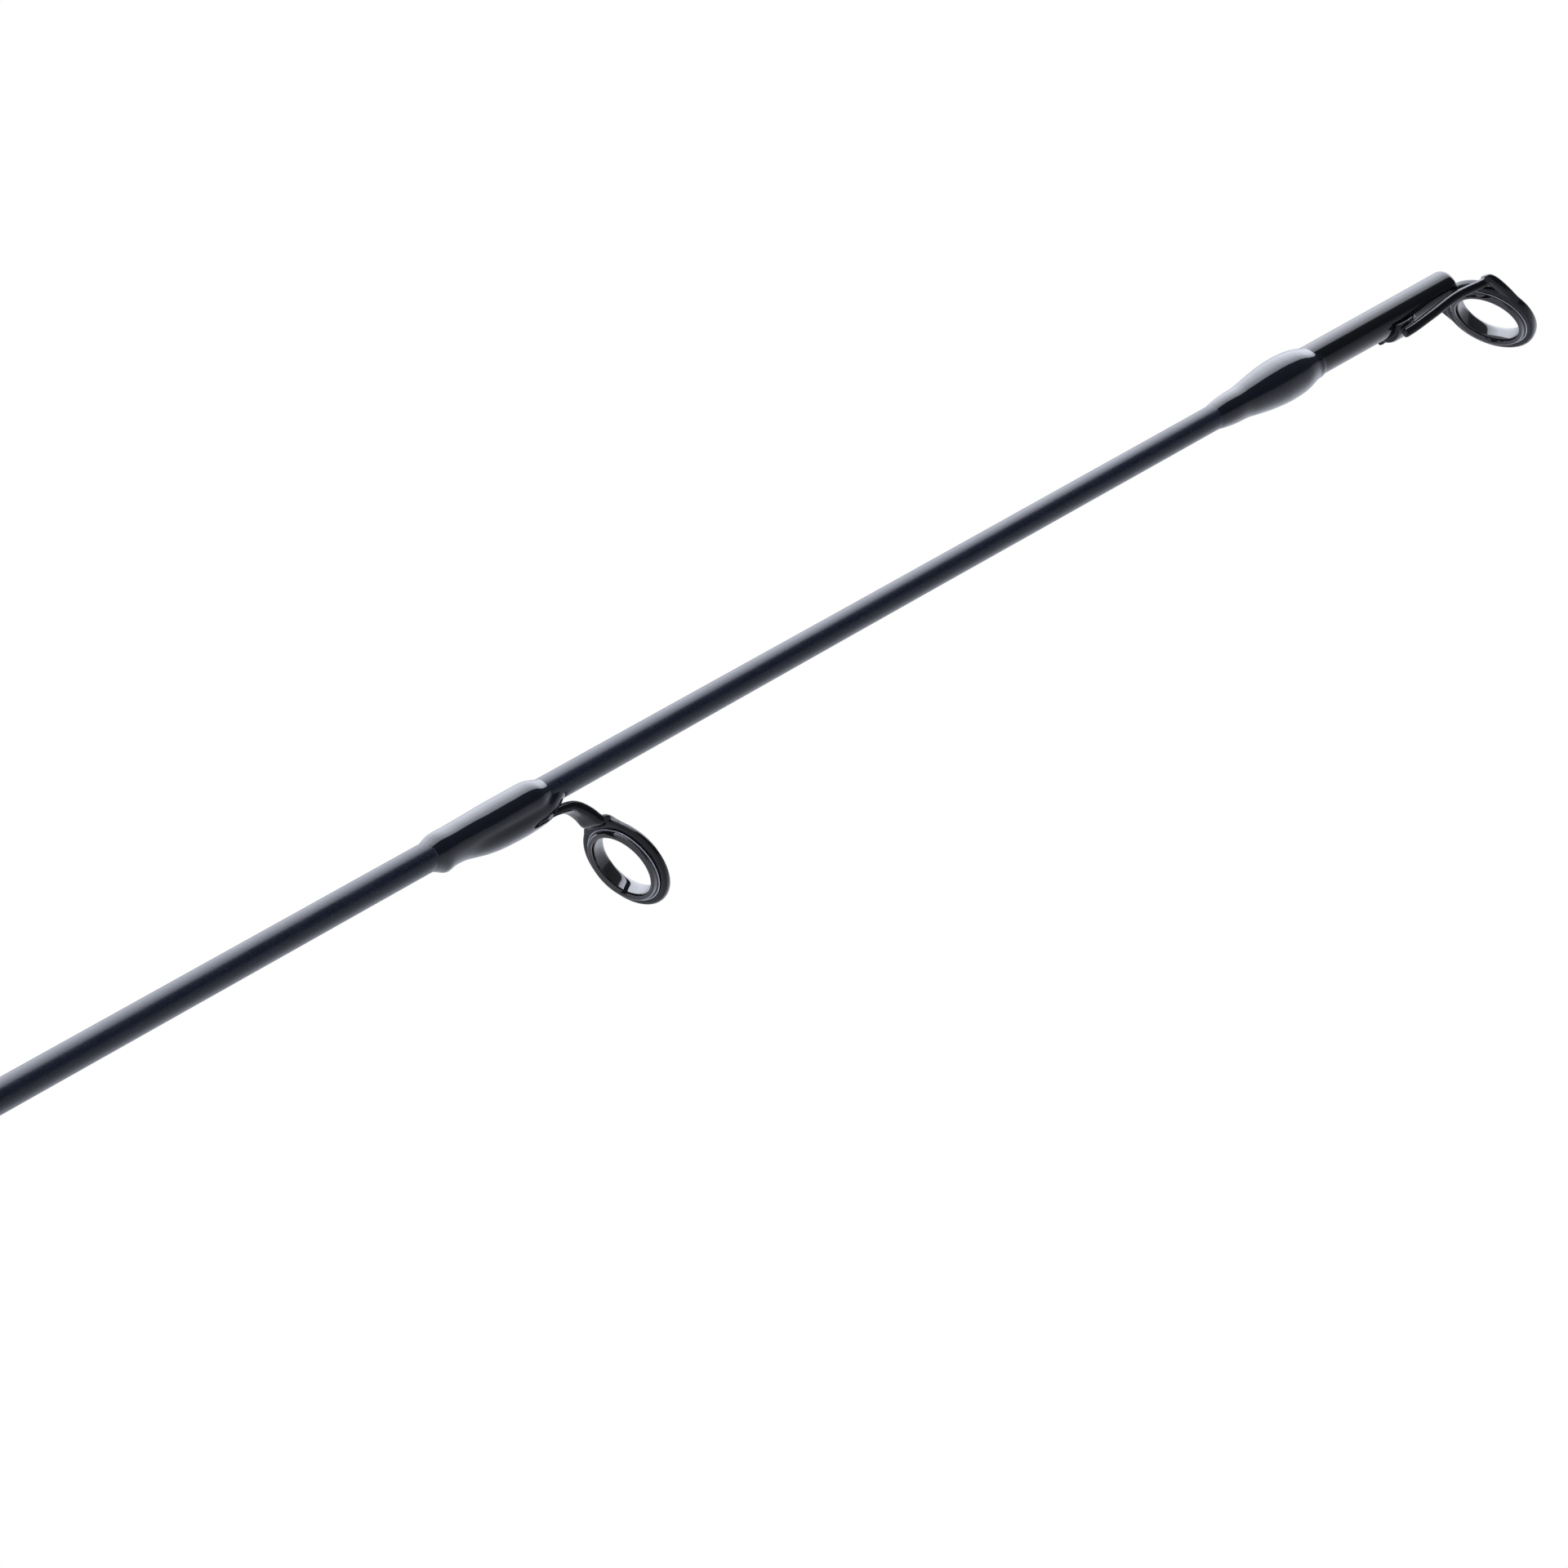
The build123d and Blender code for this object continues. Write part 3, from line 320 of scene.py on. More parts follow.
FINISHES = {
    finish.name: finish
    for finish in (
        Finish("satin_blank", "blank", (0.004, 0.007, 0.0185), fleck=(0.014, 0.018, 0.034), fleck_mm=0.13,
               fleck_share=0.2, rough=0.29, rough_spread=0.04, specular=0.42, grain_mm=0.14,
               grain_depth=0.002),
        Finish("clear_epoxy", "thread_wrap", (0.0015, 0.003, 0.0095), rough=0.045, rough_spread=0.02,
               grain=Grain.SMOOTH, coat=0.25, coat_rough=0.02),
        Finish("thread_epoxy", "thread_wrap", (0.004, 0.004, 0.006), rough=0.32, coat=1.0, coat_rough=0.03,
               grain=Grain.THREAD, grain_mm=0.2, grain_depth=0.03, specular=0.3),
        Finish("black_steel", "black_steel", (0.0025, 0.003, 0.005), rough=0.10, rough_spread=0.03,
               specular=0.42, grain_mm=0.6, grain_depth=0.001),
        Finish("bezel_steel", "black_steel", (0.42, 0.43, 0.47), metallic=1.0, rough=0.26, rough_spread=0.04,
               grain=Grain.SMOOTH),
        Finish("ring_ceramic", "ring_ceramic", (0.006, 0.006, 0.007), rough=0.05, rough_spread=0.02, ior=1.9,
               grain=Grain.SMOOTH),
        Finish("grip_foam", "cork_foam", (0.018, 0.018, 0.020), fleck=(0.035, 0.035, 0.038), fleck_mm=0.5,
               rough=0.82, grain=Grain.FOAM, grain_mm=0.45, grain_depth=0.09, specular=0.3),
        Finish("cap_rubber", "rubber", (0.012, 0.012, 0.013), rough=0.6, grain_mm=0.2, grain_depth=0.02),
        Finish("seat_resin", "graphite_resin", (0.012, 0.013, 0.017), rough=0.24, coat=0.4, grain_mm=1.2,
               grain_depth=0.006),
        Finish("dark_anodise", "anodised_trim", (0.10, 0.11, 0.13), metallic=1.0, rough=0.3,
               grain=Grain.TURNED_Z, grain_mm=0.12, grain_depth=0.004),
        Finish("side_anodise", "anodised_trim", (0.10, 0.11, 0.13), metallic=1.0, rough=0.3,
               grain=Grain.TURNED_X, grain_mm=0.12, grain_depth=0.004, centre=(0.0, -70.0, 255.0)),
        Finish("reel_paint", "reel_paint", (0.015, 0.017, 0.024), fleck=(0.04, 0.045, 0.06), fleck_mm=0.16,
               rough=0.30, coat=0.8, coat_rough=0.06, grain_mm=0.9, grain_depth=0.003),
        Finish("plain_steel", "steel", (0.56, 0.57, 0.59), metallic=1.0, rough=0.26, grain_mm=0.25,
               grain_depth=0.003),
        Finish("bearing_steel", "bearing_steel", (0.6, 0.61, 0.63), metallic=1.0, rough=0.18,
               grain=Grain.TURNED_Z, grain_mm=0.1, grain_depth=0.002, centre=(0.0, -62.0, 0.0)),
        Finish("zinc_gear", "gear_alloy", (0.47, 0.47, 0.48), metallic=1.0, rough=0.38, grain_mm=0.3,
               grain_depth=0.005),
        Finish("gear_brass", "brass", (0.62, 0.46, 0.2), metallic=1.0, rough=0.28, grain=Grain.TURNED_Z,
               grain_mm=0.12, grain_depth=0.003, centre=(0.0, -62.0, 0.0)),
        Finish("polished_steel", "chrome", (0.78, 0.79, 0.81), metallic=1.0, rough=0.07, rough_spread=0.03,
               grain_mm=0.6, grain_depth=0.001),
        Finish("satin_gunmetal", "reel_trim", (0.05, 0.055, 0.065), metallic=0.7, rough=0.34, coat=0.3,
               grain_mm=0.3, grain_depth=0.003),
        Finish("spool_anodise", "spool_alloy", (0.13, 0.14, 0.17), metallic=1.0, rough=0.24,
               grain=Grain.TURNED_Z, grain_mm=0.16, grain_depth=0.005, centre=(0.0, -62.0, 0.0)),
        Finish("soft_touch", "knob_foam", (0.016, 0.016, 0.018), rough=0.66, grain_mm=0.25, grain_depth=0.01),
    )
}


# --------------------------------------------------------------- shapes


@dataclass
class Shape:
    """Points in millimetres and the faces between them."""

    points: list[Vector] = field(default_factory=list)
    faces: list[tuple[int, ...]] = field(default_factory=list)

    def moved(self, matrix: Matrix) -> "Shape":
        """A copy carried by a matrix."""
        return Shape([matrix @ p for p in self.points], list(self.faces))

    def plus(self, *others: "Shape") -> "Shape":
        """This shape and others in one.

        Args:
            others: the shapes to join to it.

        Returns:
            The joined shape.
        """
        points, faces = list(self.points), list(self.faces)
        for other in others:
            shift = len(points)
            points += other.points
            faces += [tuple(i + shift for i in face) for face in other.faces]
        return Shape(points, faces)


def around(z: float, count: int, reach: Callable[[float], float]) -> list[Vector]:
    """A level loop about Z.

    Args:
        z: its height.
        count: how many points it has.
        reach: gives the radius at an angle.

    Returns:
        The loop's points.
    """
    loop = []
    for i in range(count):
        a = 2 * math.pi * i / count
        radius = reach(a)
        loop.append(Vector((radius * math.cos(a), radius * math.sin(a), z)))
    return loop


def lathe(profile: Profile, segments: int = 64, closed: bool = False) -> Shape:
    """A surface turned round Z.

    Args:
        profile: (radius, z) points in order.
        segments: steps round the axis.
        closed: whether the last point joins the first, as in a ring's section.

    Returns:
        The turned shape, closed at its poles where the radius is 0.
    """
    rings = [around(z, segments, lambda _, r=radius: r) for radius, z in profile]
    return skin(rings, caps=False, closed=closed)


def skin(rings: list[list[Vector]], caps: bool = True, closed: bool = False) -> Shape:
    """A surface through rings of equal point counts.

    Args:
        rings: closed loops of points in order.
        caps: whether the first and last loops are filled.
        closed: whether the last loop joins the first.

    Returns:
        The skinned shape.
    """
    count = len(rings[0])
    points = [p for ring in rings for p in ring]
    faces = []
    last = len(rings) if closed else len(rings) - 1
    for i in range(last):
        a, b = i * count, ((i + 1) % len(rings)) * count
        faces += [(a + j, a + (j + 1) % count, b + (j + 1) % count, b + j) for j in range(count)]
    if caps:
        end = (len(rings) - 1) * count
        faces += [tuple(reversed(range(count))), tuple(range(end, end + count))]
    return Shape(points, faces)


def smooth_path(points: list[Vector], steps: int) -> list[Vector]:
    """A smooth line through some points.

    Args:
        points: the points that it passes.
        steps: how many steps it takes between each pair.

    Returns:
        The line's points.
    """
    padded = [points[0] * 2 - points[1]] + list(points) + [points[-1] * 2 - points[-2]]
    line = []
    for a, b, c, d in zip(padded, padded[1:], padded[2:], padded[3:]):
        for i in range(steps):
            t = i / steps
            line.append(0.5 * ((2 * b) + (c - a) * t + (2 * a - 5 * b + 4 * c - d) * t**2
                               + (3 * b - a - 3 * c + d) * t**3))
    return line + [points[-1]]


def stretched(values: list[float], count: int) -> list[float]:
    """The values drawn out evenly to a longer list."""
    return list(np.interp(np.linspace(0, len(values) - 1, count), range(len(values)), values))


def rounded_section(half_width: float, half_depth: float, power: float = 4.0, count: int = 24) -> list[tuple]:
    """A rounded rectangle as a superellipse.

    Args:
        half_width: half of its width.
        half_depth: half of its depth.
        power: how square its corners are; 2 gives an ellipse.
        count: how many points it has.

    Returns:
        The section's points.
    """
    section = []
    for i in range(count):
        a = 2 * math.pi * (i + 0.5) / count
        c, s = math.cos(a), math.sin(a)
        section.append((half_width * math.copysign(abs(c) ** (2 / power), c),
                        half_depth * math.copysign(abs(s) ** (2 / power), s)))
    return section


def strip(path: list[Vector], widths: list[float], depths: list[float], across: Vector) -> Shape:
    """A flat strip along a path.

    Args:
        path: the strip's middle line.
        widths: half width at each point of the path.
        depths: half thickness at each point.
        across: the direction of the strip's width.

    Returns:
        A closed shape with rounded edges.
    """
    rings = []
    for i, (centre, wide, deep) in enumerate(zip(path, widths, depths)):
        tangent = (path[min(i + 1, len(path) - 1)] - path[max(i - 1, 0)]).normalized()
        side = (across - across.dot(tangent) * tangent).normalized()
        lift = tangent.cross(side)
        rings.append([centre + side * u + lift * v for u, v in rounded_section(wide, deep)])
    return skin(rings)


def ring_section(outer: float, inner: float, depth: float, power: float, count: int = 28) -> Profile:
    """Section of a ring with rounded lips, for a closed lathe.

    Args:
        outer: its outer radius.
        inner: its inner radius.
        depth: its size along its axis.
        power: how square its lips are.
        count: how many points it has.

    Returns:
        (radius, z) points.
    """
    middle, half = (outer + inner) / 2, (outer - inner) / 2
    return [(middle + u, v) for u, v in rounded_section(half, depth / 2, power, count)]


# ------------------------------------------------------ geometry nodes


class Pattern:
    """Geometry node groups for details that repeat or coil."""

    cord_sides = 8

    def __init__(self) -> None:
        """Builds both groups once."""
        self.array = self._array()
        self.coil = self._coil()

    @staticmethod
    def _group(name: str, inputs: dict[str, str]) -> tuple[bpy.types.NodeTree, bpy.types.NodeOutputs]:
        """Starts a group that takes geometry, named inputs and a finish, and gives geometry.

        Args:
            name: the group's name.
            inputs: the kind of each input by its label.

        Returns:
            The new group, and its inputs as they are met inside it.
        """
        group = bpy.data.node_groups.new(name, "GeometryNodeTree")
        for label, kind in {"Geometry": "Geometry", **inputs, "Finish": "Material"}.items():
            group.interface.new_socket(name=label, in_out="INPUT", socket_type=f"NodeSocket{kind}")
        group.interface.new_socket(name="Geometry", in_out="OUTPUT", socket_type="NodeSocketGeometry")
        return group, add_node(group, "NodeGroupInput").outputs

    @staticmethod
    def _close(group: bpy.types.NodeTree, given: bpy.types.NodeOutputs,
               geometry: Socket) -> bpy.types.NodeTree:
        """Ends a group: instances made real, then the finish set.

        Args:
            group: the group.
            given: its inputs.
            geometry: what it has made.

        Returns:
            The same group.
        """
        real = add_node(group, "GeometryNodeRealizeInstances", {"Geometry": geometry})
        painted = add_node(group, "GeometryNodeSetMaterial",
                           {"Geometry": real.outputs["Geometry"], "Material": given["Finish"]})
        add_node(group, "NodeGroupOutput", {"Geometry": painted.outputs["Geometry"]})
        return group

    def _array(self) -> bpy.types.NodeTree:
        """Copies of the piece's own mesh, each turned and lifted by a step about an axis.

        Returns:
            The group.
        """
        group, given = self._group("step_array", {"Count": "Int", "Turn": "Float", "Rise": "Float",
                                                  "Centre": "Vector", "Axis": "Vector"})

        def maths(operation: str, inputs: dict) -> Socket:
            """The result of a vector maths node."""
            return add_node(group, "ShaderNodeVectorMath", inputs, operation=operation).outputs["Vector"]

        index = add_node(group, "GeometryNodeInputIndex").outputs["Index"]
        steps = maths("SCALE", {0: given["Axis"], "Scale": index})
        turned, lifted = (maths("SCALE", {0: steps, "Scale": given[label]}) for label in ("Turn", "Rise"))
        place = maths("ADD", {0: lifted, 1: given["Centre"]})
        points = add_node(group, "GeometryNodePoints", {"Count": given["Count"], "Position": place})
        copies = add_node(group, "GeometryNodeInstanceOnPoints",
                          {"Points": points.outputs["Points"], "Instance": given["Geometry"],
                           "Rotation": turned})
        return self._close(group, given, copies.outputs["Instances"])

    def _coil(self) -> bpy.types.NodeTree:
        """A cord wound up Z from a base, as a thread's crest or a winding.

        Returns:
            The group.
        """
        spans = ("Start Radius", "End Radius", "Height")
        group, given = self._group("coil", {"Turns": "Float", **dict.fromkeys(spans, "Float"),
                                            "Cord": "Float", "Base": "Vector", "Steps": "Int"})
        spiral = add_node(group, "GeometryNodeCurveSpiral",
                          {"Resolution": given["Steps"], "Rotations": given["Turns"],
                           **{label: given[label] for label in spans}})
        circle = add_node(group, "GeometryNodeCurvePrimitiveCircle",
                          {"Resolution": self.cord_sides, "Radius": given["Cord"]})
        cord = add_node(group, "GeometryNodeCurveToMesh",
                        {"Curve": spiral.outputs["Curve"], "Profile Curve": circle.outputs["Curve"],
                         "Fill Caps": True})
        shift = add_node(group, "GeometryNodeTransform",
                         {"Geometry": cord.outputs["Mesh"], "Translation": given["Base"]})
        return self._close(group, given, shift.outputs["Geometry"])


def placed(name: str, data: bpy.types.ID) -> bpy.types.Object:
    """Links a new object with that data to the scene.

    Args:
        name: the object's name.
        data: its mesh or camera.

    Returns:
        The object.
    """
    thing = bpy.data.objects.new(name, data)
    bpy.context.scene.collection.objects.link(thing)
    return thing


def welded(data: bpy.types.Mesh, outwards: bool) -> bpy.types.Mesh:
    """Merges a mesh's doubles.

    Args:
        data: the mesh.
        outwards: whether its faces are turned outwards as well.

    Returns:
        The same mesh.
    """
    build = bmesh.new()
    build.from_mesh(data)
    bmesh.ops.remove_doubles(build, verts=build.verts, dist=WELD)
    if outwards:
        bmesh.ops.recalc_face_normals(build, faces=build.faces)
    build.to_mesh(data)
    build.free()
    return data


class Workshop:
    """Turns shapes into finished pieces of the model."""

    coil_steps = 32

    def __init__(self) -> None:
        """Builds every finish and pattern once."""
        self.materials = {name: finish.build() for name, finish in FINISHES.items()}
        self.pattern = Pattern()

    @staticmethod
    def mesh(name: str, shape: Shape) -> bpy.types.Object:
        """An object with the shape's mesh, welded and facing outwards.

        Args:
            name: the object's name.
            shape: the shape.

        Returns:
            The object.
        """
        data = bpy.data.meshes.new(name)
        data.from_pydata([tuple(p * MM) for p in shape.points], [], shape.faces)
        return placed(name, welded(data, outwards=True))

    def fused(self, piece: bpy.types.Object, voxel: float, smoothing: int) -> bpy.types.Object:
        """The piece remade as one skin with softened edges.

        Args:
            piece: an object made of closed, overlapping shapes.
            voxel: grid size in millimetres.
            smoothing: how many times the skin is relaxed.

        Returns:
            The same object with its new mesh.
        """
        remesh = piece.modifiers.new("fuse", "REMESH")
        remesh.mode = "VOXEL"
        remesh.voxel_size = voxel * MM
        relax = piece.modifiers.new("relax", "SMOOTH")
        relax.iterations = smoothing
        relax.factor = 0.5
        return self.applied(piece)

    @staticmethod
    def applied(piece: bpy.types.Object) -> bpy.types.Object:
        """Makes a piece's modifiers part of its mesh.

        Args:
            piece: the piece.

        Returns:
            The same piece.
        """
        graph = bpy.context.evaluated_depsgraph_get()
        made = bpy.data.meshes.new_from_object(piece.evaluated_get(graph))
        piece.modifiers.clear()
        piece.data = made
        return piece

    def finish(self, piece: bpy.types.Object, finish: str, body: Body, *replaces: str) -> bpy.types.Object:
        """Gives a piece its material and its body, and hides the CAD nodes that it stands for.

        Args:
            piece: the piece.
            finish: the finish's name.
            body: the body that it rides on.
            replaces: the CAD nodes that it stands for.

        Returns:
            The same piece.
        """
        piece.data.materials.clear()
        piece.data.materials.append(self.materials[finish])
        piece.data.shade_smooth()
        piece.data.set_sharp_from_angle(angle=SHARP_ANGLE)
        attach(piece, body.value)
        if replaces:
            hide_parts(*replaces)
        LOG.info("%s: %d faces on %s", piece.name, len(piece.data.polygons), body.value)
        return piece

    def make(self, name: str, shape: Shape, finish: str, body: Body, *replaces: str) -> bpy.types.Object:
        """A finished piece straight from a shape."""
        return self.finish(self.mesh(name, shape), finish, body, *replaces)

    def grown(self, name: str, template: Shape, group: bpy.types.NodeTree, values: dict, finish: str,
              body: Body, *replaces: str) -> bpy.types.Object:
        """A piece grown by a geometry node group.

        Args:
            name: the piece's name.
            template: the shape that the group starts from, empty where it needs none.
            group: the node group.
            values: the group's inputs by label, in metres and radians.
            finish: the finish's name.
            body: the body that it rides on.
            replaces: the CAD nodes that it stands for.

        Returns:
            The finished piece, with the group's result as its own mesh.
        """
        piece = self.mesh(name, template)
        grow = piece.modifiers.new(group.name, "NODES")
        grow.node_group = group
        for item in group.interface.items_tree:
            if item.in_out == "INPUT" and item.name in values:
                grow[item.identifier] = values[item.name]
            elif item.name == "Finish":
                grow[item.identifier] = self.materials[finish]
        return self.finish(self.applied(piece), finish, body, *replaces)

    def ring_of(self, name: str, template: Shape, count: int, centre: tuple, axis: tuple, finish: str,
                body: Body) -> bpy.types.Object:
        """Copies of a shape spaced evenly round an axis.

        Args:
            name: the piece's name.
            template: the shape, as it lies about the origin.
            count: how many copies there are.
            centre: a point of the axis, in millimetres.
            axis: the axis's direction.
            finish: the finish's name.
            body: the body that it rides on.

        Returns:
            The finished piece.
        """
        values = {"Count": count, "Turn": 2 * math.pi / count, "Rise": 0.0,
                  "Centre": [c * MM for c in centre], "Axis": [float(a) for a in axis]}
        return self.grown(name, template, self.pattern.array, values, finish, body)

    def wound(self, name: str, radii: tuple[float, float], low: float, high: float, cord: float, pitch: float,
              finish: str, body: Body, *replaces: str) -> bpy.types.Object:
        """A cord wound round Z, with sizes in millimetres.

        Args:
            name: the piece's name.
            radii: the winding's radius at its foot and at its top.
            low: where it starts.
            high: where it ends.
            cord: the cord's own radius.
            pitch: its rise in one turn.
            finish: the finish's name.
            body: the body that it rides on.
            replaces: the CAD nodes that it stands for.

        Returns:
            The finished piece.
        """
        values = {"Turns": (high - low) / pitch, "Start Radius": radii[0] * MM, "End Radius": radii[1] * MM,
                  "Height": (high - low) * MM, "Cord": cord * MM, "Base": [0.0, 0.0, low * MM],
                  "Steps": self.coil_steps}
        return self.grown(name, Shape(), self.pattern.coil, values, finish, body, *replaces)

    def cast(self, frame: dict, node: str, name: str, finish: str, body: Body, voxel: float,
             smoothing: int) -> bpy.types.Object:
        """A softened copy of a CAD node, as a casting or stamping with its edges rounded.

        Args:
            frame: the loaded frame.
            node: the CAD node's name.
            name: the piece's name.
            finish: the finish's name.
            body: the body that it rides on.
            voxel: grid size in millimetres.
            smoothing: how many times the skin is relaxed.

        Returns:
            The finished piece.
        """
        piece = placed(name, welded(frame["nodes"][node].data.copy(), outwards=False))
        return self.finish(self.fused(piece, voxel, smoothing), finish, body, node)


# ---------------------------------------------------------------- blank


@dataclass(frozen=True)
class Blank:
    """The two tapered tubes that the rod is built on."""

    tip_base: float = 805.0
    spigot_top: float = 865.0
    tip_end: float = 1673.0
    socket_end: float = 900.0
    spigot_bore: float = 30.0
    tip_outer: tuple = ((805.0, 3.50), (1505.0, 1.316), (1566.0, 1.225), (1604.0, 1.13), (1651.0, 1.10),
                        (1673.0, 1.10))
    butt_outer: tuple = ((4.0, 4.80), (805.0, 2.62), (865.0, 2.50))

    def tip_radius(self, z: float) -> float:
        """Outer radius of the tip section at a height."""
        return float(np.interp(z, *zip(*self.tip_outer)))

    def butt_radius(self, z: float) -> float:
        """Outer radius of the butt section at a height."""
        return float(np.interp(z, *zip(*self.butt_outer)))

    def build(self, shop: Workshop) -> None:
        """Makes both sections as finely stepped tubes."""
        shop.make("tip_blank_skin", self._tip(), "satin_blank", Body.TIP, "tip_blank")
        shop.make("butt_blank_skin", self._butt(), "satin_blank", Body.ROOT, "butt_blank")

    def _tip(self) -> Shape:
        """Tip section: open at its base, where it slides on the spigot.

        Returns:
            The tube.
        """
        heights = np.linspace(self.tip_end, self.tip_base, 120)
        profile = [(0.0, self.tip_end)] + [(self.tip_radius(z), z) for z in heights]
        profile += [(2.70, self.tip_base), (2.58, self.spigot_top + 1), (2.2, self.spigot_top + 3),
                    (0.0, self.socket_end)]
        return lathe(profile, 56)

    def _butt(self) -> Shape:
        """Butt section with its spigot on top.

        Returns:
            The tube.
        """
        heights = np.linspace(4.0, self.spigot_top, 90)
        profile = [(0.0, 4.0)] + [(self.butt_radius(z), z) for z in heights]
        bottom = self.spigot_top - self.spigot_bore
        profile += [(1.7, self.spigot_top), (1.75, bottom), (0.0, bottom)]
        return lathe(profile, 56)


# --------------------------------------------------------------- guides


@dataclass(frozen=True)
class RingInsert:
    """A hard polished ring, tilted as its frame is."""

    z: float
    drop: float
    radius: float
    tilt: float = 13.5
    hole_share: float = 0.81
    depth: float = 1.8
    edge_out: float = 0.04
    edge_side: float = 0.235
    edge_radius: float = 0.085

    @property
    def place(self) -> Matrix:
        """From the ring's own plane, with Y up to the rod, to the rod's frame."""
        return Matrix.Translation((0, -self.drop, self.z)) @ Matrix.Rotation(-math.radians(self.tilt), 4, "X")

    def shape(self) -> Shape:
        """The ring with its rolled lips."""
        section = ring_section(self.radius, self.radius * self.hole_share, self.depth, 2.5, 32)
        return lathe(section, 96, closed=True).moved(self.place)

    def bezel(self) -> Shape:
        """The bright thin edges that hold the insert in its band, one on each side.

        Returns:
            Both edges.
        """
        lips = []
        for side in (-1, 1):
            out, along = self.radius + self.edge_out, side * self.depth * self.edge_side
            section = [(out + self.edge_radius * math.cos(a), along + self.edge_radius * math.sin(a))
                       for a in np.linspace(0, 2 * math.pi, 12, endpoint=False)]
            lips.append(lathe(section, 96, closed=True).moved(self.place))
        return lips[0].plus(lips[1])


def eased(values: np.ndarray) -> np.ndarray:
    """The values with their corners rounded off.

    Args:
        values: the line of values.

    Returns:
        The softened line.
    """
    soft = values.copy()
    for _ in range(3):
        soft[1:-1] = 0.25 * soft[:-2] + 0.5 * soft[1:-1] + 0.25 * soft[2:]
    return soft


def ripple(angle: float, height: float, depth: float, spread: float, climb: float) -> float:
    """How far brushed epoxy stands off its true round at an angle and a height."""
    return depth * noise.noise(Vector((math.cos(angle) * spread, math.sin(angle) * spread, height * climb)))


@dataclass(frozen=True)
class SmallGuide:
    """A single-foot guide: ring, stamped frame and the wrap that ties it down.

    leg holds (height from the ring, gap from the blank, half width, half thickness) up the foot, and
    neck the same two halves at some depths below the band's edge. sleeve and belly are the wrap's
    thickness over the blank and over the foot, by height from the ring.
    """

    name: str
    ring: RingInsert
    tube: float
    scale: float = 1.0
    band_share: float = 1.22
    thickness: float = 0.7
    leg: tuple = ((-17.0, 0.22, 0.45, 0.12), (-10.0, 0.34, 0.80, 0.24), (-5.6, 0.54, 0.92, 0.36),
                  (-4.1, 0.64, 0.92, 0.42), (-3.15, 0.84, 0.96, 0.47), (-2.5, 1.28, 1.05, 0.49),
                  (-1.92, 2.02, 1.2, 0.49), (-1.48, 2.85, 1.4, 0.47))
    neck: tuple = ((0.1, 1.66, 0.42), (0.6, 2.3, 0.40), (1.1, 2.75, 0.36))
    bridge: tuple = (1.50, 0.44)
    longest_gap: float = 1.2
    sleeve: tuple = ((-18.1, 0.0), (-17.8, 0.08), (-17.4, 0.22), (-17.0, 0.33), (-16.5, 0.36), (-15.0, 0.35),
                     (-13.0, 0.38), (-11.0, 0.42), (-9.0, 0.43), (-6.6, 0.42), (-6.1, 0.36), (-5.6, 0.20),
                     (-5.2, 0.07), (-4.8, -0.06), (-3.5, -0.12))
    belly: tuple = ((-18.1, 0.0), (-17.6, 0.28), (-17.1, 0.60), (-16.7, 0.63), (-16.2, 0.50), (-15.6, 0.46),
                    (-15.0, 0.49), (-14.4, 0.57), (-13.5, 0.78), (-12.5, 1.0), (-11.5, 1.14), (-10.5, 1.22),
                    (-9.2, 1.26), (-8.0, 1.26), (-7.0, 1.21), (-6.0, 1.15), (-5.3, 1.04), (-4.8, 0.80),
                    (-4.4, 0.58), (-4.0, 0.36), (-3.5, 0.06))

    def build(self, shop: Workshop) -> None:
        """Makes the guide's three pieces.

        Args:
            shop: makes the pieces.
        """
        shop.make(f"{self.name}_insert", self.ring.shape(), "ring_ceramic", Body.TIP, f"{self.name}_ring")
        shop.make(f"{self.name}_bezel", self.ring.bezel(), "bezel_steel", Body.TIP)
        frame = shop.mesh(f"{self.name}_stamping", self._frame())
        shop.fused(frame, 0.07 * self.scale, 9)
        shop.finish(frame, "black_steel", Body.TIP, f"{self.name}_frame")
        shop.make(f"{self.name}_epoxy", self.wrap(), "clear_epoxy", Body.TIP, f"{self.name}_wrap")

    def _in_plane(self, b: float) -> Vector:
        """A point of the ring's plane, b up from its centre."""
        return self.ring.place @ Vector((0, b, 0))

    def _frame(self) -> Shape:
        """Band, neck and foot, as overlapping closed shapes.

        Returns:
            The frame's overlapping shapes.
        """
        k, t, z = self.scale, self.tube, self.ring.z
        band = self.ring.radius * self.band_share
        stations = [(Vector((0, -(t + h * k), z + dz * k)), w * k, d * k) for dz, h, w, d in self.leg]
        shoulder = self._in_plane(band - self.neck[0][0] * k)
        last = stations[-1][0]
        if (shoulder - last).length > self.longest_gap * k:
            stations.append((last.lerp(shoulder, 0.55), *(half * k for half in self.bridge)))
        stations += [(self._in_plane(band - down * k), wide * k, deep * k) for down, wide, deep in self.neck]
        places, wide, deep = zip(*stations)
        path = smooth_path(list(places), 8)
        neck = strip(path, stretched(wide, len(path)), stretched(deep, len(path)), Vector((1, 0, 0)))
        ring = lathe(ring_section(band, self.ring.radius - 0.12, self.thickness * k, 2.6), 128, closed=True)
        return neck.plus(ring.moved(self.ring.place))

    def wrap(self) -> Shape:
        """Epoxy over thread: a sleeve above and a full belly over the foot below.

        Returns:
            The wrap.
        """
        k, t, z = self.scale, self.tube, self.ring.z
        heights = np.linspace(self.sleeve[0][0], self.sleeve[-1][0], 110)
        above, below = (eased(np.interp(heights, *zip(*line))) for line in (self.sleeve, self.belly))
        rings = [self._wrap_ring(z + height * k, t + up * k, down * k)
                 for height, up, down in zip(heights, above, below)]
        rings[0] = [Vector((p.x * 0.97, p.y * 0.97, p.z)) for p in rings[0]]
        return skin(rings)

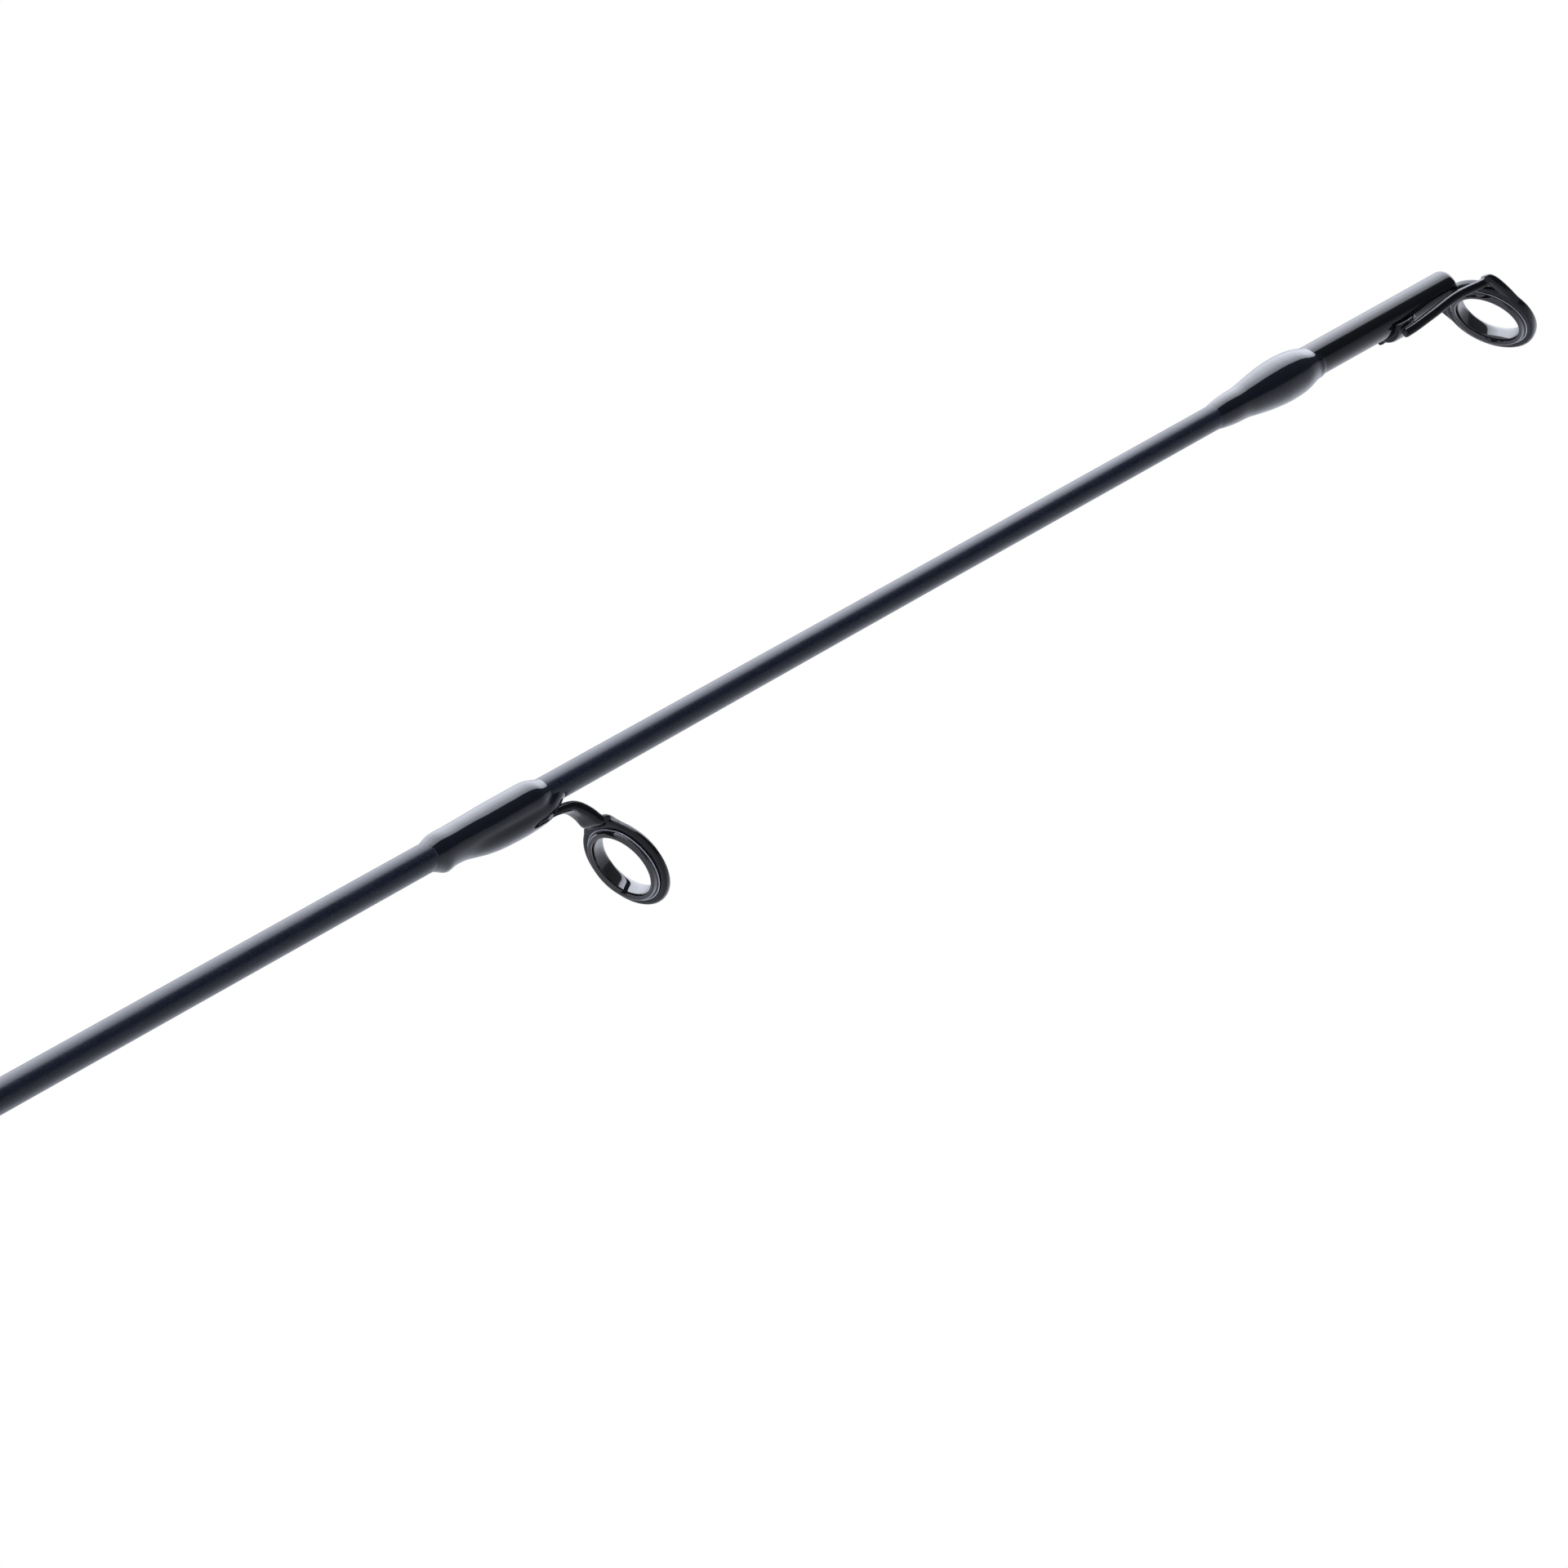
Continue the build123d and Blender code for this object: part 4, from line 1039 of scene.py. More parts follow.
    def _wrap_ring(self, z: float, sleeve: float, sag: float) -> list[Vector]:
        """One loop of the wrap: a circle that swells to the foot's side.

        Args:
            z: the loop's height.
            sleeve: its radius away from the foot.
            sag: how far it stands off the blank over the foot.

        Returns:
            The loop's points.
        """
        belly = 1.02 * self.scale + 0.25 * sag
        offset = max(self.tube + sag - belly, 0.0)
        blend = 0.22 * self.scale

        def reach(a: float) -> float:
            """The wrap's radius at an angle, with its crease filled.

            Args:
                a: the angle.

            Returns:
                The radius.
            """
            inside = belly**2 - (offset * math.cos(a)) ** 2
            foot = math.sqrt(inside) - offset * math.sin(a) if inside > 0 else 0.0
            gap = max(blend - abs(sleeve - foot), 0.0) / blend
            return max(sleeve, foot) + gap * gap * blend * 0.25 + ripple(a, z, 0.012, 2, 0.7)

        return around(z, 96, reach)


@dataclass(frozen=True)
class TallGuide:
    """A double-foot guide with braces, for the wide coils near the reel."""

    name: str
    ring: RingInsert
    tube: float
    scale: float
    body: Body
    brace_share: float = 0.95

    def build(self, shop: Workshop, frame: dict) -> None:
        """Makes the ring, the softened frame and two glossy wraps.

        Args:
            shop: makes the pieces.
            frame: the loaded frame.
        """
        shop.make(f"{self.name}_insert", self.ring.shape(), "ring_ceramic", self.body, f"{self.name}_ring")
        shop.cast(frame, f"{self.name}_frame", f"{self.name}_stamping", "black_steel", self.body, 0.16, 8)
        rear = SmallGuide(self.name, self.ring, self.tube, self.scale).wrap()
        middle = Matrix.Translation((0, 0, 2 * self.ring.z + self.ring.drop * self.brace_share))
        front = rear.moved(middle @ Matrix.Scale(-1, 4, (0, 0, 1)))
        shop.make(f"{self.name}_epoxy", rear.plus(front), "clear_epoxy", self.body, f"{self.name}_wrap")


# -------------------------------------------------------------- tip-top


@dataclass(frozen=True)
class TipTop:
    """The last ring, its stamped frame and the tube that caps the blank."""

    ring: RingInsert = RingInsert(1678.75, 3.96, 3.5, tilt=29.7)
    tube_bottom: float = 1653.4
    tube_top: float = 1675.4
    tube_radius: float = 1.48
    wrap_bottom: float = 1644.5
    saddle: tuple = ((1666.6, 1.62), (1666.7, 1.88), (1667.0, 1.96), (1667.9, 1.96), (1668.8, 1.8),
                     (1669.4, 1.5))
    saddle_bore: float = 1.3
    drop: tuple = ((0.0, 1.08), (0.3, 1.17), (0.9, 1.27), (1.4, 1.34), (2.0, 1.40), (2.6, 1.43), (3.2, 1.44),
                   (3.7, 1.47), (4.2, 1.55), (5.1, 1.69), (6.1, 1.84), (7.1, 1.96), (8.1, 2.04), (9.0, 2.06),
                   (9.8, 2.03), (10.5, 1.97), (11.1, 1.87), (11.7, 1.72), (12.2, 1.58), (12.5, 1.50),
                   (12.8, 1.52), (13.0, 1.52), (13.15, 1.46))

    def build(self, shop: Workshop) -> None:
        """Makes tube, frame, insert and wrap.

        Args:
            shop: makes the pieces.
        """
        shop.make("tip_top_insert", self.ring.shape(), "ring_ceramic", Body.TIP, "tip_top_ring")
        shop.make("tip_top_bezel", self.ring.bezel(), "bezel_steel", Body.TIP)
        shop.make("tip_top_sleeve", self._tube(), "black_steel", Body.TIP, "tip_top_tube")
        frame = shop.mesh("tip_top_stamping", self._frame())
        shop.fused(frame, 0.07, 6)
        shop.finish(frame, "black_steel", Body.TIP, "tip_top_frame")
        shop.make("tip_epoxy", self._wrap(), "clear_epoxy", Body.TIP, "tip_wrap")

    def _tube(self) -> Shape:
        """Drawn tube with a rounded closed end.

        Returns:
            The tube.
        """
        r, top = self.tube_radius, self.tube_top
        corner = 0.55
        arc = [(r + corner * (math.cos(a) - 1), top + corner * (math.sin(a) - 1))
               for a in np.linspace(0, math.pi / 2, 8)]
        profile = [(0.0, self.tube_bottom), (r - 0.1, self.tube_bottom), (r, self.tube_bottom + 0.15)]
        profile += [(r, z) for z in np.linspace(self.tube_bottom + 1, top - corner - 0.4, 16)]
        return lathe(profile + arc + [(0.0, top)], 72).moved(Matrix.Translation((0, 0.1, 0)))

    def _frame(self) -> Shape:
        """Band, two ears bent back along the tube, and the saddle below it.

        Returns:
            The frame's overlapping shapes.
        """
        band = self.ring.radius * 1.22
        ring = lathe(ring_section(band, self.ring.radius - 0.12, 0.96, 3.2), 128, closed=True)
        return ring.moved(self.ring.place).plus(self._ear(-1), self._ear(1), self._saddle())

    def _ear(self, side: int) -> Shape:
        """Strip from the band's side up to the bend and back down to the saddle.

        Args:
            side: 1 for the ear at +X, -1 for the other.

        Returns:
            The ear.
        """
        plane = self.ring.place
        path = [plane @ Vector((side * 3.74, 0.0, 0)), plane @ Vector((side * 3.94, 2.2, 0)),
                plane @ Vector((side * 3.84, 3.4, 0)), plane @ Vector((side * 3.62, 3.93, -0.12)),
                plane @ Vector((side * 3.40, 4.04, -0.65)), Vector((side * 2.95, -0.68, 1673.2)),
                Vector((side * 2.35, -1.10, 1670.4)), Vector((side * 1.90, -1.42, 1668.3)),
                Vector((side * 1.68, -1.53, 1667.05))]
        wide = [0.46, 0.48, 0.50, 0.50, 0.46, 0.42, 0.42, 0.40, 0.34]
        line = smooth_path(path, 8)
        return strip(line, stretched(wide, len(line)), [0.40] * len(line), Vector((1, 0, 0)))

    def _saddle(self) -> Shape:
        """Half sleeve soldered under the tube, with a blunt lower end.

        Returns:
            The saddle.
        """
        sweep = [math.radians(a) for a in np.linspace(198, 342, 20)]
        rings = []
        for z, outer in self.saddle:
            edges = [(outer, a) for a in sweep] + [(self.saddle_bore, a) for a in reversed(sweep)]
            rings.append([Vector((r * math.cos(a), r * math.sin(a), z)) for r, a in edges])
        return skin(rings)

    def _wrap(self) -> Shape:
        """Epoxy drop that swells to the tube's end and steps down to it.

        Returns:
            The drop.
        """
        heights = np.linspace(0, self.drop[-1][0], 110)
        radii = eased(np.interp(heights, *zip(*self.drop)))
        return skin([around(self.wrap_bottom + height, 96,
                            lambda a, r=radius, h=height: r + ripple(a, h, 0.015, 1.5, 0.5))
                     for height, radius in zip(heights, radii)])


# --------------------------------------------------------------- handle


def eased_profile(points: Profile, steps: int = 10) -> Profile:
    """A smooth (radius, z) line through a few (z, radius) points."""
    return [(p.y, p.x) for p in smooth_path([Vector((z, r, 0)) for z, r in points], steps)]


def grooved(profile: Profile, heights: tuple, depth: float = 0.55, width: float = 0.8) -> Profile:
    """Cuts narrow rounded grooves round a turned piece.

    Args:
        profile: its (radius, z) line, upwards.
        heights: where the grooves are.
        depth: how deep they are.
        width: half of their width.

    Returns:
        The line with its grooves.
    """
    low, high = profile[0][1], profile[-1][1]
    places = set(z for _, z in profile)
    for groove in heights:
        places.update(groove + width * t for t in np.linspace(-1.2, 1.2, 13))
    radii, marks = zip(*profile)
    line = []
    for z in sorted(p for p in places if low <= p <= high):
        sink = sum(depth * max(0.0, 1 - ((z - groove) / width) ** 2) ** 0.7 for groove in heights)
        line.append((float(np.interp(z, marks, radii)) - sink, z))
    return line


def rib(half_width: float, height: float, low: float, high: float, radius: float) -> Shape:
    """A rounded rib along Z that stands on a round surface, at +X of the axis.

    Args:
        half_width: half of its width.
        height: how far it stands proud.
        low: where it starts.
        high: where it ends.
        radius: the surface's radius.

    Returns:
        The rib.
    """
    path = [Vector((radius, 0, z)) for z in np.linspace(low, high, 9)]
    swell = [max(1 - abs(t) ** 6, 0.25) for t in np.linspace(-1, 1, 9)]
    return strip(path, [half_width] * 9, [height * w for w in swell], Vector((0, 1, 0)))


@dataclass(frozen=True)
class Handle:
    """Butt cap, grips, reel seat and the trim above it."""

    blank: Blank = Blank()
    rear: tuple = ((18.0, 12.6), (60.0, 12.9), (120.0, 10.9), (175.0, 11.6), (205.0, 11.2))
    fore: tuple = ((350.0, 11.6), (370.0, 12.2), (395.0, 10.6), (420.0, 7.2))
    nut: tuple[float, float] = (318.4, 330.0)
    nut_radius: float = 13.2
    bore: float = 9.2
    ribs: int = 18
    thread: tuple[float, float] = (331.0, 345.5)

    def build(self, shop: Workshop, frame: dict) -> None:
        """Makes every piece of the handle.

        Args:
            shop: makes the pieces.
            frame: the loaded frame.
        """
        shop.make("butt_cap_moulding", self._cap(), "cap_rubber", Body.ROOT, "butt_cap")
        shop.make("rear_grip_foam", self._grip(self.rear, (186.0, 190.5, 195.0)), "grip_foam", Body.ROOT,
                  "rear_grip")
        shop.make("foregrip_foam", self._grip(self.fore, (357.0, 361.5, 366.0)), "grip_foam", Body.ROOT,
                  "foregrip")
        shop.cast(frame, "seat_body", "seat_moulding", "seat_resin", Body.ROOT, 0.6, 5)
        shop.cast(frame, "sliding_hood", "hood_moulding", "seat_resin", Body.HOOD, 0.4, 5)
        shop.wound("seat_thread", (8.82, 8.82), *self.thread, 0.34, 2.0, "seat_resin", Body.ROOT)
        self._nut(shop)
        shop.make("winding_check_turning", self._check(), "dark_anodise", Body.ROOT, "winding_check")
        shop.make("keeper_epoxy", self._keeper_wrap(438.0).plus(self._keeper_wrap(457.0)), "clear_epoxy",
                  Body.ROOT, "keeper_wraps")
        low, high = self.blank.tip_base + 1.2, self.blank.tip_base + 57.8
        radii = (self.blank.tip_radius(low) + 0.1, self.blank.tip_radius(high) + 0.1)
        shop.wound("ferrule_thread", radii, low, high, 0.2, 0.37, "thread_epoxy", Body.TIP, "ferrule_wrap")

    def _cap(self) -> Shape:
        """Butt cap with rings in its face and two grooves round its side.

        Returns:
            The cap.
        """
        profile = [(0.0, 0.5), (4.0, 0.5), (4.4, 0.05), (6.8, 0.05), (7.1, 0.5), (7.7, 0.5), (8.0, 0.05),
                   (11.2, 0.05), (12.7, 0.5), (13.6, 1.3), (13.95, 2.4)]
        profile += grooved([(14.0, 2.6), (14.0, 13.6)], (5.2, 8.0), 0.5, 0.6)
        profile += [(13.9, 14.6), (13.4, 16.0), (12.9, 17.2), (12.5, 17.9), (11.8, 18.0), (4.85, 18.0),
                    (4.85, 4.0), (0.0, 4.0)]
        return lathe(profile, 96)

    def _grip(self, points: tuple, grooves: tuple) -> Shape:
        """Foam grip turned to a smooth line, bored for the blank.

        Args:
            points: (z, radius) points of its outside.
            grooves: the heights of its grooves.

        Returns:
            The grip.
        """
        outer = grooved(eased_profile(list(points)), grooves)
        (r0, z0), (r1, z1) = outer[0], outer[-1]
        ends = [self.blank.butt_radius(z0) + 0.02, self.blank.butt_radius(z1) + 0.02]
        loop = [(ends[0], z0), (r0 - 0.9, z0), (r0 - 0.25, z0 + 0.25)]
        loop += [(r, z) for r, z in outer if z0 + 0.8 < z < z1 - 0.8]
        loop += [(r1 - 0.25, z1 - 0.25), (r1 - 0.9, z1), (ends[1], z1)]
        return lathe(loop, 96, closed=True)

    def _nut(self, shop: Workshop) -> None:
        """Lock nut: a turned core and the ribs that the fingers turn it by.

        Args:
            shop: makes the pieces.
        """
        low, high = self.nut
        edge = self.nut_radius - 0.75
        core = [(self.bore, low), (edge - 0.5, low), (edge, low + 0.5), (edge, high - 0.5),
                (edge - 0.5, high), (self.bore, high)]
        shop.make("lock_nut_core", lathe(core, 96, closed=True), "dark_anodise", Body.NUT, "lock_nut")
        shop.ring_of("lock_nut_ribs", rib(1.45, 0.75, low + 0.4, high - 0.4, edge), self.ribs, (0, 0, 0),
                     UP, "dark_anodise", Body.NUT)

    def _check(self) -> Shape:
        """Stepped metal ring that finishes the foregrip.

        Returns:
            The ring.
        """
        bore = self.blank.butt_radius(425.0) + 0.02
        loop = [(bore, 420.0), (6.6, 420.0), (6.8, 420.25), (6.8, 421.0), (6.55, 421.3), (6.2, 421.4),
                (6.2, 421.8), (6.4, 422.0), (6.2, 422.4), (5.5, 423.4), (4.9, 424.5), (4.6, 424.9),
                (4.4, 425.0), (bore, 425.0)]
        return lathe(loop, 96, closed=True)

    def _keeper_wrap(self, low: float) -> Shape:
        """Epoxy over one foot of the hook keeper.

        Args:
            low: where the foot starts.

        Returns:
            The wrap.
        """
        rings = []
        for t in np.linspace(-1, 1, 25):
            swell = max(1 - abs(t) ** 4, 0.0)
            core = self.blank.butt_radius(low) + 0.02
            wide, tall = core + 0.5 * swell, core + 0.05 + 1.25 * swell
            loop = [Vector((wide * math.cos(a), 0.8 * swell + tall * math.sin(a), low + 2.5 + 3.0 * t))
                    for a in np.linspace(0, 2 * math.pi, 48, endpoint=False)]
            rings.append(loop)
        return skin(rings)


# ----------------------------------------------------------------- reel


@dataclass(frozen=True)
class Reel:
    """The reel: castings with soft edges, turned spool and knobs, and their grips."""

    axis_y: float = -62.0
    pivot_z: float = 315.0
    crank: tuple[float, float] = (-70.0, 255.0)
    reach: float = 50.0
    castings: tuple = (("reel_body", "reel_paint", Body.ROOT, 0.5),
                       ("side_cover", "reel_paint", Body.ROOT, 0.4),
                       ("rotor", "reel_paint", Body.ROTOR, 0.42),
                       ("handle_arm", "satin_gunmetal", Body.CRANK, 0.3),
                       ("anti_reverse_lever", "satin_gunmetal", Body.LEVER, 0.25),
                       ("bail_arm", "satin_gunmetal", Body.BAIL, 0.25),
                       ("bail_lever", "satin_gunmetal", Body.BAIL, 0.25))

    def build(self, shop: Workshop, frame: dict) -> None:
        """Makes every piece of the reel that the CAD leaves plain.

        Args:
            shop: makes the pieces.
            frame: the loaded frame.
        """
        for node, finish, body, voxel in self.castings:
            shop.cast(frame, node, f"{node}_casting", finish, body, voxel, 6)
        self._gear(shop)
        self._spool(shop)
        self._drag(shop)
        self._knob(shop)
        self._cap(shop)

    def _up(self, shape: Shape) -> Shape:
        """A shape turned about Z, moved to the spool's axis and the pivot's height."""
        return shape.moved(Matrix.Translation((0, self.axis_y, self.pivot_z)))

    def _out(self, shape: Shape, z: float, flip: bool = False) -> Shape:
        """A shape turned about Z, laid along X at the crank's distance from the rod."""
        turn = Matrix.Rotation(math.radians(-90 if flip else 90), 4, "Y")
        return shape.moved(Matrix.Translation((0, self.crank[0], z)) @ turn)

    def _gear(self, shop: Workshop) -> None:
        """Drive gear: a turned blank with its face teeth and the small gear's teeth set round it.

        Args:
            shop: makes the pieces.
        """
        loop = [(3.02, -17.4), (3.8, -17.4), (4.0, -17.2), (4.0, -10.3), (6.0, -10.3), (6.0, -9.5),
                (14.4, -9.5), (14.7, -9.2), (14.7, -6.8), (14.4, -6.5), (4.0, -6.5), (4.0, 5.0), (5.0, 5.0),
                (5.0, 8.0), (4.0, 8.0), (4.0, 17.2), (3.8, 17.4), (3.02, 17.4)]
        shop.make("drive_gear_turning", self._out(lathe(loop, 96, closed=True), self.crank[1]), "zinc_gear",
                  Body.CRANK, "drive_gear")
        face = strip([Vector((-5.55, 0, r)) for r in np.linspace(11.0, 14.6, 5)], [1.05] * 5, [0.42] * 5,
                     Vector((1, 0, 0)))
        small = strip([Vector((x, 0, 5.1)) for x in np.linspace(5.05, 7.95, 5)], [0.46] * 5, [0.32] * 5,
                      Vector((0, 1, 0)))
        centre = (0, *self.crank)
        shop.ring_of("drive_gear_teeth", face, 40, centre, ALONG, "zinc_gear", Body.CRANK)
        shop.ring_of("small_gear_teeth", small, 16, centre, ALONG, "zinc_gear", Body.CRANK)

    def _spool(self, shop: Workshop) -> None:
        """Spool with machined lips, arbor bars and a milled skirt.

        Args:
            shop: makes the pieces.
        """
        loop = [(2.35, -3), (3.8, -3), (3.8, 3), (11.5, 3), (11.5, -2), (20.9, -2), (20.9, -15.6),
                (21.2, -16), (22.3, -16), (22.5, -15.7), (22.5, -11.8), (22.2, -11.6), (22.2, -11.0),
                (22.5, -10.8), (22.5, -4.0), (22.2, -3.8), (22.2, -3.2), (22.5, -3.0), (22.5, -0.9),
                (22.3, -0.3), (21.7, 0.1), (13.2, 0.8), (13, 1.1), (13, 13.1), (13.3, 13.5), (20.8, 14.2),
                (21.7, 14.5), (22.2, 15.1), (22.2, 15.7), (21.8, 16.4), (20.9, 16.8), (19, 17),
                (16.5, 17), (16.2, 16.7), (14.6, 16.7), (14.3, 17), (9.8, 17), (9.5, 16.7), (9.5, 6),
                (2.35, 6)]
        turned = self._up(lathe(loop, 128, closed=True))
        shop.make("spool_turning", turned, "spool_anodise", Body.SPOOL, "spool")
        centre = (0, self.axis_y, self.pivot_z)
        for name, bar, count in (("spool_skirt_milling", rib(0.42, 0.16, -15.0, -12.2, 22.45), 90),
                                 ("spool_arbor_bars", rib(0.7, 0.3, 1.4, 12.8, 13.0), 12)):
            shop.ring_of(name, bar, count, centre, UP, "spool_anodise", Body.SPOOL)

    def _drag(self, shop: Workshop) -> None:
        """Drag knob with six finger scallops and a grip bar on each lobe.

        Args:
            shop: makes the pieces.
        """
        profile = [(5.0, 10.8), (5.0, 17.4), (11.7, 17.4), (12.0, 17.7), (12.0, 19.0), (11.8, 21.0),
                   (11.55, 23.5), (11.3, 25.6), (11.0, 26.6), (10.4, 27.7), (9.6, 28.4), (8.2, 28.6),
                   (7.8, 28.3), (6.6, 28.3), (6.2, 28.7), (3.0, 28.95)]
        rings = [around(z, 144, lambda a, r=radius, h=z: self._scalloped(r, a, h)) for radius, z in profile]
        shop.make("drag_knob_moulding", self._up(skin(rings)), "soft_touch", Body.DRAG, "drag_knob")
        lobe = ((19.6, 11.93), (20.6, 11.84), (22.0, 11.70), (23.5, 11.55), (24.6, 11.42), (25.4, 11.32))
        path = [Vector((r + 0.02, 0, z)) for z, r in lobe]
        bar = strip(path, [1.0] * 6, [0.2, 0.26, 0.28, 0.28, 0.26, 0.2], Vector((0, 1, 0)))
        shop.ring_of("drag_knob_bars", bar.moved(Matrix.Rotation(math.radians(30), 4, "Z")), 6,
                     (0, self.axis_y, self.pivot_z), UP, "satin_gunmetal", Body.DRAG)

    @staticmethod
    def _scalloped(radius: float, angle: float, z: float) -> float:
        """Cuts the nearest finger scallop.

        Args:
            radius: the knob's radius before the cut.
            angle: where on the knob, in radians.
            z: how high on the knob.

        Returns:
            The radius that is left.
        """
        if z < 19.0:
            return radius
        off = (angle + math.pi / 6) % (math.pi / 3) - math.pi / 6
        cutter_out, cutter_radius = 14.6, 5.0
        inside = cutter_radius**2 - (cutter_out * math.sin(off)) ** 2
        if inside <= 0:
            return radius
        return min(radius, cutter_out * math.cos(off) - math.sqrt(inside))

    def _knob(self, shop: Workshop) -> None:
        """Barrel knob with ribs, on the end of the handle.

        Args:
            shop: makes the pieces.
        """
        z = self.crank[1] - self.reach
        outer = eased_profile([(43.0, 6.4), (47.0, 7.0), (51.5, 8.1), (56.0, 9.0), (60.0, 9.25), (63.5, 8.9),
                               (66.6, 7.9)], 6)
        loop = [(2.6, 41.4), (5.3, 41.4), (5.6, 41.6), (5.9, 42.2)] + outer
        loop += [(7.2, 67.8), (6.2, 68.6), (4.6, 69.1), (4.3, 68.8), (0.0, 68.8), (0.0, 63.0), (2.6, 63.0)]
        shop.make("handle_knob_moulding", self._out(lathe(loop, 96, closed=True), z), "soft_touch", Body.KNOB,
                  "handle_knob")
        path = [Vector((r - 0.1, 0, along)) for r, along in outer[6:-6:2]]
        bar = strip(path, [0.8] * len(path), [0.3] * len(path), Vector((0, 1, 0)))
        turned = bar.moved(Matrix.Rotation(math.radians(90), 4, "Y"))
        shop.ring_of("handle_knob_ribs", turned, 14, (0, self.crank[0], z), ALONG, "soft_touch", Body.KNOB)

    def _cap(self, shop: Workshop) -> None:
        """Cap on the far end of the handle's shank, with a knurled rim.

        Args:
            shop: makes the pieces.
        """
        loop = [(0.0, 0.0), (6.8, 0.0), (7.1, 0.3), (7.15, 1.5), (6.9, 4.9), (6.5, 6.4), (5.9, 7.2),
                (5.2, 7.6), (4.4, 7.6), (4.1, 7.2), (0.0, 7.2)]
        side = Matrix.Translation((-17.4, 0, 0))
        turned = self._out(lathe(loop, 96), self.crank[1], True).moved(side)
        shop.make("handle_cap_turning", turned, "side_anodise", Body.CRANK, "handle_cap")
        bar = rib(0.5, 0.22, 1.0, 5.0, 7.05).moved(side @ Matrix.Rotation(math.radians(-90), 4, "Y"))
        shop.ring_of("handle_cap_knurl", bar, 30, (0, *self.crank), ALONG, "side_anodise", Body.CRANK)


# --------------------------------------------------------------- studio


